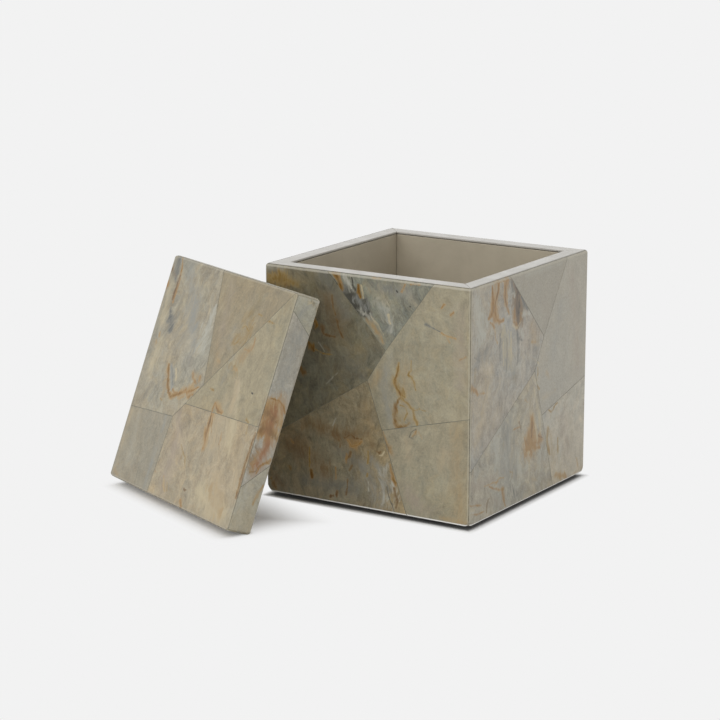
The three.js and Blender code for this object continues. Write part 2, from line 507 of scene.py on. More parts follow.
# %% Ease the boards
ease_segments = 3
board_flat_angle = math.radians(1)
board_sink = 0.0002


def eased_copy(node_name, ease):
    """A copy of a CAD node with every edge rounded a little."""
    work = bmesh.new()
    work.from_mesh(nodes[node_name].data)
    join_flat_parts(work, board_flat_angle)
    round_edges(work, ease, ease_segments, True)
    return work


eases = {"rim_band": 0.00035, "wall_board": 0.0002, "floor_board": 0.0003,
         "lid_board": 0.0003, "lid_plug": 0.0008, "base_felt": 0.0005}
slots = {"rim_band": "rim", "base_felt": "felt"}
boards = {}
for node_name in sorted(nodes):
    kind = next((key for key in eases if node_name.startswith(key)), None)
    if kind is None:
        continue
    board_work = eased_copy(node_name, eases[kind])
    if kind == "wall_board":
        saw(board_work, foot_corner_planes(board_sink))
    slot = slots.get(kind, "carcass")
    boards[node_name] = (slot, add_piece(f"{node_name}_eased", board_work, body_of(node_name),
                                         [node_name]))
print("eased pieces:", ", ".join(boards))

# %% [markdown]
# ## A few helpers for materials
#
# Every finish here is a node tree. A few helpers keep the code short: one fills in a node's
# sockets, one adds a node, one starts a node group with named sockets, and one places such a
# group. Colours are written as they look, in the usual hex form, and turned into Blender's
# linear values.

# %% Node helpers
def paint(code):
    """A hex colour such as 8f8a7a as linear RGBA."""
    shares = [int(code[i:i + 2], 16) / 255 for i in (0, 2, 4)]
    linear = [x / 12.92 if x <= 0.04045 else ((x + 0.055) / 1.055) ** 2.4 for x in shares]
    return (*linear, 1.0)


def feed(tree, node, **sockets):
    """Gives a node's sockets, by name with _ for a space or by number, a value or a link."""
    for name, value in sockets.items():
        key = int(name[1:]) if name[1:].isdigit() else name.replace("_", " ")
        if isinstance(value, bpy.types.NodeSocket):
            tree.links.new(value, node.inputs[key])
        else:
            node.inputs[key].default_value = value


def add_node(tree, kind, settings=None, **sockets):
    """Adds a node with its settings and sockets."""
    node = tree.nodes.new(kind)
    for name, value in (settings or {}).items():
        setattr(node, name, value)
    feed(tree, node, **sockets)
    return node


def add_group(tree, group, **sockets):
    """Places a node group in a tree."""
    return add_node(tree, "ShaderNodeGroup", {"node_tree": group}, **sockets)


def new_group(name, inputs, outputs):
    """A shader node group with named sockets: (tree, its inputs, its output node)."""
    tree = bpy.data.node_groups.new(name, "ShaderNodeTree")
    kinds = {"F": "NodeSocketFloat", "C": "NodeSocketColor", "V": "NodeSocketVector"}
    for names, direction in ((inputs, "INPUT"), (outputs, "OUTPUT")):
        for socket_name, kind in names.items():
            tree.interface.new_socket(socket_name, in_out=direction, socket_type=kinds[kind])
    inside = tree.nodes.new("NodeGroupInput").outputs
    return tree, inside, tree.nodes.new("NodeGroupOutput")


def math_node(tree, operation, *values):
    """The result of one sum on numbers."""
    numbered = {f"_{i}": value for i, value in enumerate(values)}
    return add_node(tree, "ShaderNodeMath", {"operation": operation}, **numbered).outputs[0]


def vector_node(tree, operation, *values):
    """The result of one sum on places or colours."""
    numbered = {f"_{i}": value for i, value in enumerate(values)}
    node = add_node(tree, "ShaderNodeVectorMath", {"operation": operation}, **numbered)
    return node.outputs["Value" if operation in ("LENGTH", "DOT_PRODUCT") else "Vector"]


def noise(tree, place, scale, detail=3.0, roughness=0.55, distortion=0.0):
    """A noise of this many cells to one unit of the place."""
    return add_node(tree, "ShaderNodeTexNoise", None, Vector=place, Scale=scale, Detail=detail,
                    Roughness=roughness, Distortion=distortion)


def step_between(tree, value, low, high, to_low=0.0, to_high=1.0):
    """A smooth step from low to high."""
    node = add_node(tree, "ShaderNodeMapRange", {"interpolation_type": "SMOOTHSTEP"}, Value=value,
                    From_Min=low, From_Max=high, To_Min=to_low, To_Max=to_high)
    return node.outputs["Result"]


def mix_colours(tree, share, under, over):
    """One colour laid over another by a share."""
    settings = {"data_type": "RGBA", "blend_type": "MIX"}
    return add_node(tree, "ShaderNodeMix", settings, _0=share, _6=under, _7=over).outputs[2]


print("helpers ready; sample colour", [round(x, 3) for x in paint("9c9584")])

# %% [markdown]
# ## The stone's ground
#
# The stone is a grey-olive slate. Large and small clouds of warmer and cooler grey lie in it,
# wisps run one way on each tile, and the grain is as fine as salt. Each of these is a noise at
# its own size. The place is bent by a slow noise first, because nothing in a stone runs
# straight. One group makes them all, and a tile only says which tone it has, how strong each
# layer is and which way its wisps run. The group also hands on the bent place, stretched along
# the wisps, so that the stains can feather the same way.

# %% Build the ground group
ground_group, ground_in, ground_out = new_group(
    "stone_ground",
    {"Place": "V", "Grain Angle": "F", "Tone": "C", "Clouds": "F", "Wisps": "F", "Feathers": "F"},
    {"Color": "C", "Flow": "V", "Wisp": "F"},
)
tree = ground_group
bend_scale, broad_scale, small_scale, wisp_scale, grain_scale = 5.0, 3.5, 22.0, 48.0, 110.0
bend_amount = (0.12, 0.12, 0.0)
cloud_stretch = (0.75, 1.0, 1.0)
wisp_stretch = (0.3, 1.0, 1.0)
cloud_border = (0.92, 1.2)
broad_gain, small_gain, grain_gain = 0.6, 2.2, 0.75
feather_width = 0.03
cool_cast = (0.92, 1.0, 1.09)
warm_cast = (1.08, 1.0, 0.86)


def centred(tree, value, gain):
    """A noise value about its middle, times a gain."""
    return math_node(tree, "MULTIPLY", math_node(tree, "SUBTRACT", value, 0.5), gain)


def contour(tree, value, width):
    """A thin line where a noise passes its middle."""
    off = math_node(tree, "ABSOLUTE", math_node(tree, "SUBTRACT", value, 0.5))
    return step_between(tree, off, 0.0, width, 1.0, 0.0)


def three_noises(tree, *settings):
    """The three channels of a noise as three separate values."""
    parts = add_node(tree, "ShaderNodeSeparateColor", None,
                     Color=noise(tree, *settings).outputs["Color"])
    return parts.outputs[:]


turned = add_node(tree, "ShaderNodeVectorRotate", {"rotation_type": "Z_AXIS"},
                  Vector=ground_in["Place"], Angle=ground_in["Grain Angle"])
slow = noise(tree, turned.outputs[0], bend_scale, 3.0, 0.5)
bend = vector_node(tree, "SUBTRACT", slow.outputs["Color"], (0.5, 0.5, 0.5))
bent = vector_node(tree, "MULTIPLY_ADD", bend, bend_amount, turned.outputs[0])
cloudy = vector_node(tree, "MULTIPLY", bent, cloud_stretch)
flow = vector_node(tree, "MULTIPLY", bent, wisp_stretch)
broad = three_noises(tree, cloudy, broad_scale, 3.0, 0.5)
small = three_noises(tree, cloudy, small_scale, 6.0, 0.72, 0.5)
wisps = three_noises(tree, flow, wisp_scale, 6.0, 0.66, 1.0)
grains = noise(tree, ground_in["Place"], grain_scale, 4.0, 0.75, 0.6)
colour = ground_in["Tone"]
for channel, cast in ((0, cool_cast), (1, warm_cast)):
    level = math_node(tree, "ADD", broad[channel], small[channel])
    share = step_between(tree, level, *cloud_border)
    share = math_node(tree, "MULTIPLY", share, ground_in["Clouds"])
    colour = mix_colours(tree, share, colour, vector_node(tree, "MULTIPLY", colour, cast))
gentle = math_node(tree, "MULTIPLY", ground_in["Clouds"], broad_gain)
gain = math_node(tree, "ADD", 1.0, centred(tree, broad[2], gentle))
mottle = math_node(tree, "MULTIPLY", ground_in["Clouds"], small_gain)
gain = math_node(tree, "ADD", gain, centred(tree, small[2], mottle))
gain = math_node(tree, "ADD", gain, centred(tree, wisps[0], ground_in["Wisps"]))
gain = math_node(tree, "ADD", gain, centred(tree, grains.outputs["Fac"], grain_gain))
feathers = math_node(tree, "SUBTRACT", contour(tree, wisps[1], feather_width),
                     contour(tree, wisps[2], feather_width))
feathers = math_node(tree, "MULTIPLY", feathers, ground_in["Feathers"])
gain = math_node(tree, "ADD", gain, feathers)
scaled = vector_node(tree, "SCALE", colour)
feed(tree, scaled.node, Scale=gain)
feed(tree, ground_out, Color=scaled, Flow=flow, Wisp=wisps[0])
print("ground group:", len(ground_group.nodes), "nodes")

# %% [markdown]
# ## A strand and a stain
#
# Iron left rust in the stone: soft washes, ragged stains that run down like drips, and thin
# veins. Two small groups draw them all. The first measures how deep a place lies inside a
# strand, which is a line that may taper: 1 on the line, 0 at its border. A bent stain is a
# few strands end to end. The second group lays the stain over the colour that comes in. Noise
# eats into its border, a lighter halo lies round a stronger core, and the noise follows the
# stone's own flow.

# %% Build the strand and stain groups
strand_group, strand_in, strand_out = new_group(
    "stain_strand", {"Place": "V", "From": "V", "To": "V", "From Width": "F", "To Width": "F"},
    {"Depth": "F"})
tree = strand_group
along = vector_node(tree, "SUBTRACT", strand_in["To"], strand_in["From"])
off = vector_node(tree, "SUBTRACT", strand_in["Place"], strand_in["From"])
covered = math_node(tree, "DIVIDE", vector_node(tree, "DOT_PRODUCT", off, along),
                    vector_node(tree, "DOT_PRODUCT", along, along))
covered = add_node(tree, "ShaderNodeClamp", None, Value=covered).outputs[0]
nearest = add_node(tree, "ShaderNodeMix", {"data_type": "VECTOR"}, _0=covered,
                   _4=strand_in["From"], _5=strand_in["To"]).outputs[1]
gap = vector_node(tree, "LENGTH", vector_node(tree, "SUBTRACT", strand_in["Place"], nearest))
width = add_node(tree, "ShaderNodeMix", None, _0=covered, _2=strand_in["From Width"],
                 _3=strand_in["To Width"]).outputs[0]
reach = math_node(tree, "MULTIPLY", width, 0.5)
depth = math_node(tree, "SUBTRACT", 1.0, math_node(tree, "DIVIDE", gap, reach))
feed(tree, strand_out, Depth=depth)

stain_group, stain_in, stain_out = new_group(
    "stone_stain",
    {"Color": "C", "Depth": "F", "Flow": "V", "Fineness": "F", "Softness": "F", "Ragged": "F",
     "Halo": "C", "Core": "C", "Strength": "F"},
    {"Color": "C"},
)
tree = stain_group
core_from = 0.35
speckle_scale = 75.0
eaten_range, eaten_gain = (0.38, 0.56), (0.7, 1.1)
speckle_range, speckle_gain = (0.4, 0.58), (0.62, 1.15)
eaten = three_noises(tree, stain_in["Flow"], stain_in["Fineness"], 5.0, 0.62, 0.4)
speckle = three_noises(tree, stain_in["Flow"], speckle_scale, 5.0, 0.7, 0.5)
nibbled = math_node(tree, "ADD", stain_in["Depth"],
                    centred(tree, eaten[0], stain_in["Ragged"]))
border = math_node(tree, "ADD", nibbled, centred(tree, speckle[0], stain_in["Ragged"]))
halo = step_between(tree, border, 0.0, stain_in["Softness"])
deeper = math_node(tree, "ADD", border, centred(tree, eaten[1], stain_in["Ragged"]))
core_to = math_node(tree, "ADD", stain_in["Softness"], core_from)
core = step_between(tree, deeper, core_from, core_to)
uneven = math_node(tree, "MULTIPLY", step_between(tree, eaten[2], *eaten_range, *eaten_gain),
                   step_between(tree, speckle[1], *speckle_range, *speckle_gain))
share = math_node(tree, "MULTIPLY", math_node(tree, "MULTIPLY", halo, uneven),
                  stain_in["Strength"])
share = math_node(tree, "MINIMUM", share, 1.0)
laid = mix_colours(tree, share, stain_in["Color"], stain_in["Halo"])
laid = mix_colours(tree, math_node(tree, "MULTIPLY", core, share), laid, stain_in["Core"])
feed(tree, stain_out, Color=laid)
print("strand and stain groups:", len(strand_group.nodes), "and", len(stain_group.nodes), "nodes")

# %% [markdown]
# ## Polish, and lines along the edges
#
# The tiles are lacquered and polished, yet no polish is even, so one group gives the surface
# its roughness and its very shallow relief. Along the arrises a second group draws lines: a
# sawn tile edge shows dark, and a pale line is a painted highlight where an arris catches the
# light. Both fray a little.

# %% Build the polish and edge groups
polish_group, polish_in, polish_out = new_group(
    "stone_polish", {"Place": "V", "Wisp": "F"}, {"Roughness": "F", "Height": "F"})
tree = polish_group
wave_scale, pit_scale = 11.0, 260.0
pit_border = (0.62, 0.75)
even_roughness, wave_roughness, pit_roughness = 0.28, 0.16, 0.25
pit_sink, wisp_rise = 0.06, 0.03
waves = noise(tree, polish_in["Place"], wave_scale, 2.0, 0.5).outputs["Fac"]
pits = noise(tree, polish_in["Place"], pit_scale, 2.0, 0.6).outputs["Fac"]
pit_depth = step_between(tree, pits, *pit_border)
rough = math_node(tree, "ADD", math_node(tree, "MULTIPLY", waves, wave_roughness), even_roughness)
rough = math_node(tree, "ADD", rough, math_node(tree, "MULTIPLY", pit_depth, pit_roughness))
height = math_node(tree, "SUBTRACT", waves, math_node(tree, "MULTIPLY", pit_depth, pit_sink))
wisp_height = math_node(tree, "MULTIPLY", polish_in["Wisp"], wisp_rise)
height = math_node(tree, "ADD", height, wisp_height)
feed(tree, polish_out, Roughness=rough, Height=height)

edge_group, edge_in, edge_out = new_group(
    "edge_line", {"Distance": "F", "Place": "V", "From": "F", "To": "F", "Fray": "F"}, {"Mask": "F"})
tree = edge_group
edge_blur = 0.0015
fray_scale = 40.0
frayed = noise(tree, edge_in["Place"], fray_scale, 4.0, 0.7)
away = math_node(tree, "ADD", edge_in["Distance"],
                 centred(tree, frayed.outputs["Fac"], edge_in["Fray"]))
begun = step_between(tree, math_node(tree, "SUBTRACT", away, edge_in["From"]),
                     -edge_blur, edge_blur)
over = step_between(tree, math_node(tree, "SUBTRACT", away, edge_in["To"]),
                    -edge_blur, edge_blur)
mask = math_node(tree, "MULTIPLY", begun, math_node(tree, "SUBTRACT", 1.0, over))
feed(tree, edge_out, Mask=mask)
print("polish and edge groups:", len(polish_group.nodes), "and", len(edge_group.nodes), "nodes")

# %% [markdown]
# ## The stone's colours and kinds of stain
#
# A small palette keeps the stone in one family: each tint is a halo and a core. Each kind of
# stain is three numbers for the stain group: how soft its border is, how far the noise eats
# into it and how many cells of noise lie across it.

# %% Name the colours and kinds
tints = {
    "rust": ("a08358", "866430"), "brown": ("7f6847", "5f4526"), "umber": ("7e6c53", "5c5041"),
    "gold": ("998457", "7e6229"), "ochre": ("8a6c38", "674614"), "tan": ("a38c66", "9a7d50"),
    "peach": ("a89a80", "ac9a78"), "cream": ("ada184", "b8aa8a"), "slate": ("77756c", "5c5d58"),
    "blue": ("8d8d85", "828480"), "pale": ("a3a194", "aeac9f"), "shade": ("757060", "575243"),
    "black": ("45433a", "26251f"), "pink": ("9c8e7e", "98897c"), "olive": ("7a7152", "6b5f3c"),
    "clay": ("97714f", "8a5f3e"),
}
# softness, ragged, cells
stain_kinds = {
    "wash": (1.1, 1.6, 1.0),
    "stain": (0.8, 2.0, 1.3),
    "drip": (0.75, 1.5, 1.0),
    "vein": (0.9, 1.4, 0.9),
    "fleck": (0.7, 4.5, 2.6),
}
print(len(tints), "tints and", len(stain_kinds), "kinds of stain")

# %% [markdown]
# ## The tone of each tile
#
# The tiles are cut from different slabs, so each has a tone of its own; the front's upper left
# one is set darker partly as painted shade from the leaning lid. With it go four numbers: how
# strong the clouds, the wisps and the feathery hairlines are, and which way the wisps run, in
# degrees from the face's lower edge.

# %% List the tones of the tiles
tile_tones = {
    # darker than the other front tiles: partly its own tone, partly painted shade from the leaning
    # lid
    "front_tile_upper_left": ("716b58", 0.9, 0.5, 0.1, 100),
    "front_tile_top_wedge": ("7a796a", 0.8, 0.7, 0.16, 105),
    "front_tile_upper_right": ("928a73", 0.5, 0.3, 0.04, 100),
    "front_tile_lower_left": ("857a61", 0.9, 0.5, 0.12, 95),
    "front_tile_lower_right": ("908871", 0.5, 0.35, 0.05, 80),
    "right_tile_upper_left": ("979082", 0.7, 0.5, 0.1, 92),
    "right_tile_top_wedge": ("979182", 0.15, 0.12, 0.0, 90),
    "right_tile_upper_right": ("9f998a", 0.22, 0.12, 0.0, 95),
    "right_tile_lower_right": ("aaa290", 0.5, 0.3, 0.04, 95),
    "right_tile_lower_left": ("9a9382", 0.7, 0.5, 0.08, 95),
    "lid_tile_upper_left": ("948c79", 0.7, 0.45, 0.06, 75),
    "lid_tile_top": ("8c8168", 0.5, 0.35, 0.04, 70),
    "lid_tile_right": ("92886e", 0.5, 0.35, 0.04, 80),
    "lid_tile_lower_right": ("9c8f76", 0.7, 0.45, 0.06, 100),
    "lid_tile_lower_left": ("8f8774", 0.4, 0.25, 0.03, 95),
    "lid_right_edge_tile_a": ("a19a87", 0.5, 0.3, 0.03, 10),
    "lid_right_edge_tile_b": ("a09b8e", 0.4, 0.4, 0.08, 15),
    "lid_right_edge_tile_c": ("9d9a8a", 0.5, 0.3, 0.04, 5),
}
print("tiles with tones of their own:", len(tile_tones))

# %% [markdown]
# ## Where the stains lie
#
# Each entry is a kind, a tint, a strength and then the places that the stain runs through, in
# shares of the face, each with its width. They were set down from the photograph, the way one
# copies a pattern on squared paper. Broad washes come first and fine veins last, because each
# one lies over those before it.

# %% List the stains of the front wall's upper tiles
stains = {}
stains["front_tile_upper_left"] = [
    ("wash", "slate", 0.45, (0.3, 0.98, 0.154), (0.4, 0.82, 0.11)),
    ("wash", "slate", 0.3, (0.42, 0.62, 0.176), (0.5, 0.56, 0.088)),
    ("wash", "brown", 0.26, (0.31, 0.88, 0.132), (0.36, 0.76, 0.154)),
    ("wash", "olive", 0.38, (0.24, 0.98, 0.088), (0.23, 0.92, 0.055)),
    ("wash", "pale", 0.3, (0.0, 0.985, 0.055), (0.09, 0.98, 0.044)),
    ("stain", "ochre", 0.71, (0.03, 0.94, 0.06), (0.07, 0.945, 0.09), (0.12, 0.93, 0.074)),
    ("wash", "gold", 0.45, (0.11, 0.95, 0.066), (0.16, 0.93, 0.055)),
    ("stain", "gold", 0.9, (0.03, 0.935, 0.065), (0.09, 0.945, 0.091), (0.15, 0.93, 0.052)),
    ("drip", "ochre", 1.0, (0.215, 0.69, 0.011), (0.232, 0.665, 0.048), (0.245, 0.65, 0.017)),
    ("drip", "ochre", 1.0, (0.247, 0.79, 0.014), (0.256, 0.765, 0.031), (0.25, 0.745, 0.014)),
    ("stain", "ochre", 0.66, (0.178, 0.57, 0.033), (0.19, 0.55, 0.044)),
    ("vein", "brown", 0.9, (0.335, 0.9, 0.018), (0.342, 0.85, 0.013), (0.35, 0.82, 0.016)),
    ("vein", "brown", 1.0, (0.358, 0.8, 0.016), (0.37, 0.76, 0.018), (0.392, 0.725, 0.016)),
    ("vein", "brown", 0.79, (0.285, 0.76, 0.039), (0.295, 0.728, 0.023), (0.352, 0.725, 0.013)),
    ("vein", "gold", 0.79, (0.25, 0.658, 0.013), (0.29, 0.646, 0.012), (0.335, 0.645, 0.013)),
    ("vein", "brown", 0.68, (0.3, 0.68, 0.026), (0.32, 0.66, 0.026)),
    ("vein", "pale", 0.45, (0.27, 0.69, 0.013), (0.3, 0.655, 0.01)),
    ("vein", "pale", 0.29, (0.31, 0.52, 0.012), (0.36, 0.57, 0.012)),
]
stains["front_tile_top_wedge"] = [
    ("wash", "blue", 0.34, (0.56, 0.95, 0.11), (0.7, 0.95, 0.099)),
    ("wash", "blue", 0.24, (0.58, 0.88, 0.11), (0.62, 0.78, 0.088)),
    ("wash", "tan", 0.24, (0.5, 0.96, 0.055), (0.53, 0.93, 0.055)),
    ("wash", "peach", 0.24, (0.68, 0.97, 0.11), (0.74, 0.9, 0.077)),
    ("fleck", "slate", 0.33, (0.53, 0.96, 0.07), (0.68, 0.97, 0.06)),
    ("fleck", "pale", 0.3, (0.56, 0.89, 0.06), (0.6, 0.86, 0.1), (0.63, 0.81, 0.06)),
    ("fleck", "cream", 0.15, (0.53, 0.95, 0.07), (0.6, 0.9, 0.07)),
    ("stain", "slate", 0.9, (0.405, 0.93, 0.074), (0.44, 0.89, 0.105), (0.48, 0.86, 0.074)),
    ("stain", "black", 0.85, (0.395, 0.905, 0.029), (0.43, 0.885, 0.072), (0.465, 0.853, 0.043)),
    ("stain", "slate", 0.6, (0.48, 0.875, 0.06), (0.5, 0.84, 0.07), (0.53, 0.825, 0.04)),
    ("stain", "black", 0.8, (0.4, 0.905, 0.052), (0.435, 0.88, 0.104), (0.475, 0.852, 0.065)),
    ("stain", "slate", 0.8, (0.46, 0.9, 0.065), (0.5, 0.87, 0.091), (0.52, 0.84, 0.052)),
    ("fleck", "black", 0.6, (0.47, 0.88, 0.05), (0.5, 0.85, 0.06)),
    ("wash", "slate", 0.72, (0.41, 0.93, 0.1), (0.46, 0.88, 0.13), (0.51, 0.84, 0.07)),
    ("stain", "black", 1.0, (0.4, 0.905, 0.05), (0.43, 0.885, 0.13), (0.47, 0.865, 0.12),
     (0.5, 0.85, 0.07)),
    ("stain", "black", 0.8, (0.46, 0.9, 0.05), (0.49, 0.88, 0.08), (0.512, 0.845, 0.05)),
    ("wash", "slate", 0.22, (0.4, 0.9, 0.08), (0.46, 0.88, 0.14), (0.51, 0.85, 0.08)),
    ("fleck", "blue", 0.4, (0.45, 0.9, 0.05), (0.5, 0.87, 0.05)),
    ("fleck", "pale", 0.4, (0.42, 0.965, 0.05), (0.44, 0.93, 0.04)),
    ("drip", "black", 0.4, (0.495, 0.9, 0.007), (0.51, 0.865, 0.016), (0.52, 0.84, 0.007)),
    ("drip", "black", 0.76, (0.432, 0.985, 0.009), (0.438, 0.95, 0.022), (0.462, 0.925, 0.029)),
    ("fleck", "pale", 0.44, (0.46, 0.852, 0.026), (0.53, 0.828, 0.026)),
    ("drip", "pale", 0.66, (0.398, 0.985, 0.036), (0.415, 0.96, 0.028), (0.43, 0.94, 0.008)),
    ("vein", "black", 0.85, (0.32, 0.99, 0.013), (0.355, 0.952, 0.018), (0.39, 0.912, 0.013)),
    ("drip", "ochre", 0.95, (0.345, 1.0, 0.028), (0.37, 0.965, 0.045), (0.383, 0.935, 0.034),
     (0.386, 0.915, 0.011)),
    ("drip", "rust", 0.57, (0.365, 1.0, 0.028), (0.38, 0.96, 0.017)),
    ("drip", "ochre", 0.95, (0.465, 0.955, 0.017), (0.467, 0.93, 0.034), (0.478, 0.905, 0.017)),
    ("drip", "cream", 0.66, (0.478, 0.955, 0.014), (0.487, 0.93, 0.02), (0.488, 0.905, 0.011)),
    ("drip", "rust", 0.76, (0.672, 0.95, 0.017), (0.682, 0.97, 0.02), (0.69, 0.985, 0.011)),
    ("drip", "cream", 0.66, (0.61, 0.85, 0.017), (0.618, 0.81, 0.011)),
    ("wash", "tan", 0.5, (0.505, 0.815, 0.03), (0.54, 0.79, 0.05), (0.56, 0.765, 0.05),
     (0.585, 0.73, 0.03)),
    ("drip", "cream", 0.3, (0.53, 0.83, 0.02), (0.565, 0.795, 0.017), (0.585, 0.76, 0.011)),
    ("vein", "rust", 0.81, (0.53, 0.993, 0.013), (0.57, 0.993, 0.016)),
    ("vein", "rust", 0.81, (0.715, 0.99, 0.013), (0.76, 0.99, 0.016)),
    ("vein", "gold", 0.63, (0.3, 0.993, 0.013), (0.36, 0.993, 0.016)),
    ("drip", "black", 0.95, (0.65, 0.952, 0.012), (0.653, 0.948, 0.012)),
    ("drip", "black", 0.95, (0.711, 0.895, 0.012), (0.713, 0.892, 0.012)),
]
stains["front_tile_upper_right"] = [
    ("wash", "blue", 0.3, (0.62, 0.68, 0.066), (0.59, 0.55, 0.11), (0.62, 0.4, 0.077)),
    ("wash", "tan", 0.24, (0.69, 0.64, 0.11), (0.69, 0.42, 0.154)),
    ("wash", "tan", 0.21, (0.52, 0.52, 0.077), (0.57, 0.6, 0.055)),
    ("wash", "pink", 0.24, (0.95, 0.9, 0.11), (0.95, 0.6, 0.088)),
    ("stain", "gold", 0.5, (0.658, 0.64, 0.039), (0.645, 0.57, 0.065), (0.675, 0.52, 0.065)),
    ("stain", "gold", 0.35, (0.645, 0.44, 0.052), (0.655, 0.385, 0.052), (0.69, 0.385, 0.039)),
    ("drip", "gold", 0.92, (0.662, 0.65, 0.017), (0.655, 0.62, 0.028), (0.645, 0.585, 0.028),
     (0.643, 0.565, 0.034), (0.65, 0.54, 0.02), (0.668, 0.522, 0.042), (0.69, 0.512, 0.014)),
    ("vein", "ochre", 1.0, (0.66, 0.645, 0.008), (0.653, 0.61, 0.016), (0.644, 0.58, 0.013),
     (0.645, 0.562, 0.026), (0.655, 0.54, 0.01), (0.67, 0.522, 0.029)),
    ("vein", "gold", 1.0, (0.72, 0.668, 0.013), (0.72, 0.63, 0.018), (0.705, 0.607, 0.018),
     (0.72, 0.602, 0.029), (0.733, 0.575, 0.018), (0.742, 0.548, 0.013)),
    ("vein", "ochre", 0.8, (0.672, 0.51, 0.018), (0.652, 0.48, 0.028), (0.642, 0.43, 0.028),
     (0.642, 0.395, 0.03), (0.655, 0.378, 0.034), (0.682, 0.384, 0.024), (0.71, 0.4, 0.022)),
    ("vein", "gold", 0.95, (0.675, 0.51, 0.018), (0.7, 0.488, 0.024), (0.728, 0.46, 0.024),
     (0.738, 0.425, 0.026), (0.752, 0.402, 0.026)),
    ("vein", "gold", 0.76, (0.672, 0.475, 0.013), (0.695, 0.468, 0.013), (0.705, 0.445, 0.013),
     (0.69, 0.42, 0.016), (0.685, 0.4, 0.01)),
    ("vein", "gold", 0.63, (0.73, 0.455, 0.013), (0.76, 0.468, 0.013), (0.79, 0.465, 0.01)),
    ("vein", "rust", 1.0, (0.86, 0.903, 0.013), (0.875, 0.922, 0.021)),
    ("vein", "rust", 0.76, (0.905, 0.88, 0.021), (0.915, 0.893, 0.021)),
    ("vein", "slate", 0.88, (0.79, 0.83, 0.023), (0.815, 0.82, 0.013), (0.86, 0.805, 0.008)),
    ("vein", "tan", 1.0, (0.86, 0.803, 0.013), (0.885, 0.792, 0.017), (0.93, 0.785, 0.013)),
    ("vein", "tan", 0.63, (0.885, 0.792, 0.01), (0.9, 0.765, 0.013)),
    ("vein", "rust", 0.5, (0.95, 0.7, 0.016), (0.975, 0.715, 0.016)),
    ("vein", "rust", 0.63, (0.515, 0.545, 0.013), (0.512, 0.52, 0.018)),
]
print("stains on the upper front:", sum(len(found) for found in stains.values()))

# %% [markdown]
# The front's lower tiles are more weathered. On the left one rust has run down in short drips
# and bled into a ragged patch, and pale and blue veins cross near the foot. The right one is
# nearly plain, with a warm bloom along its outer edge.

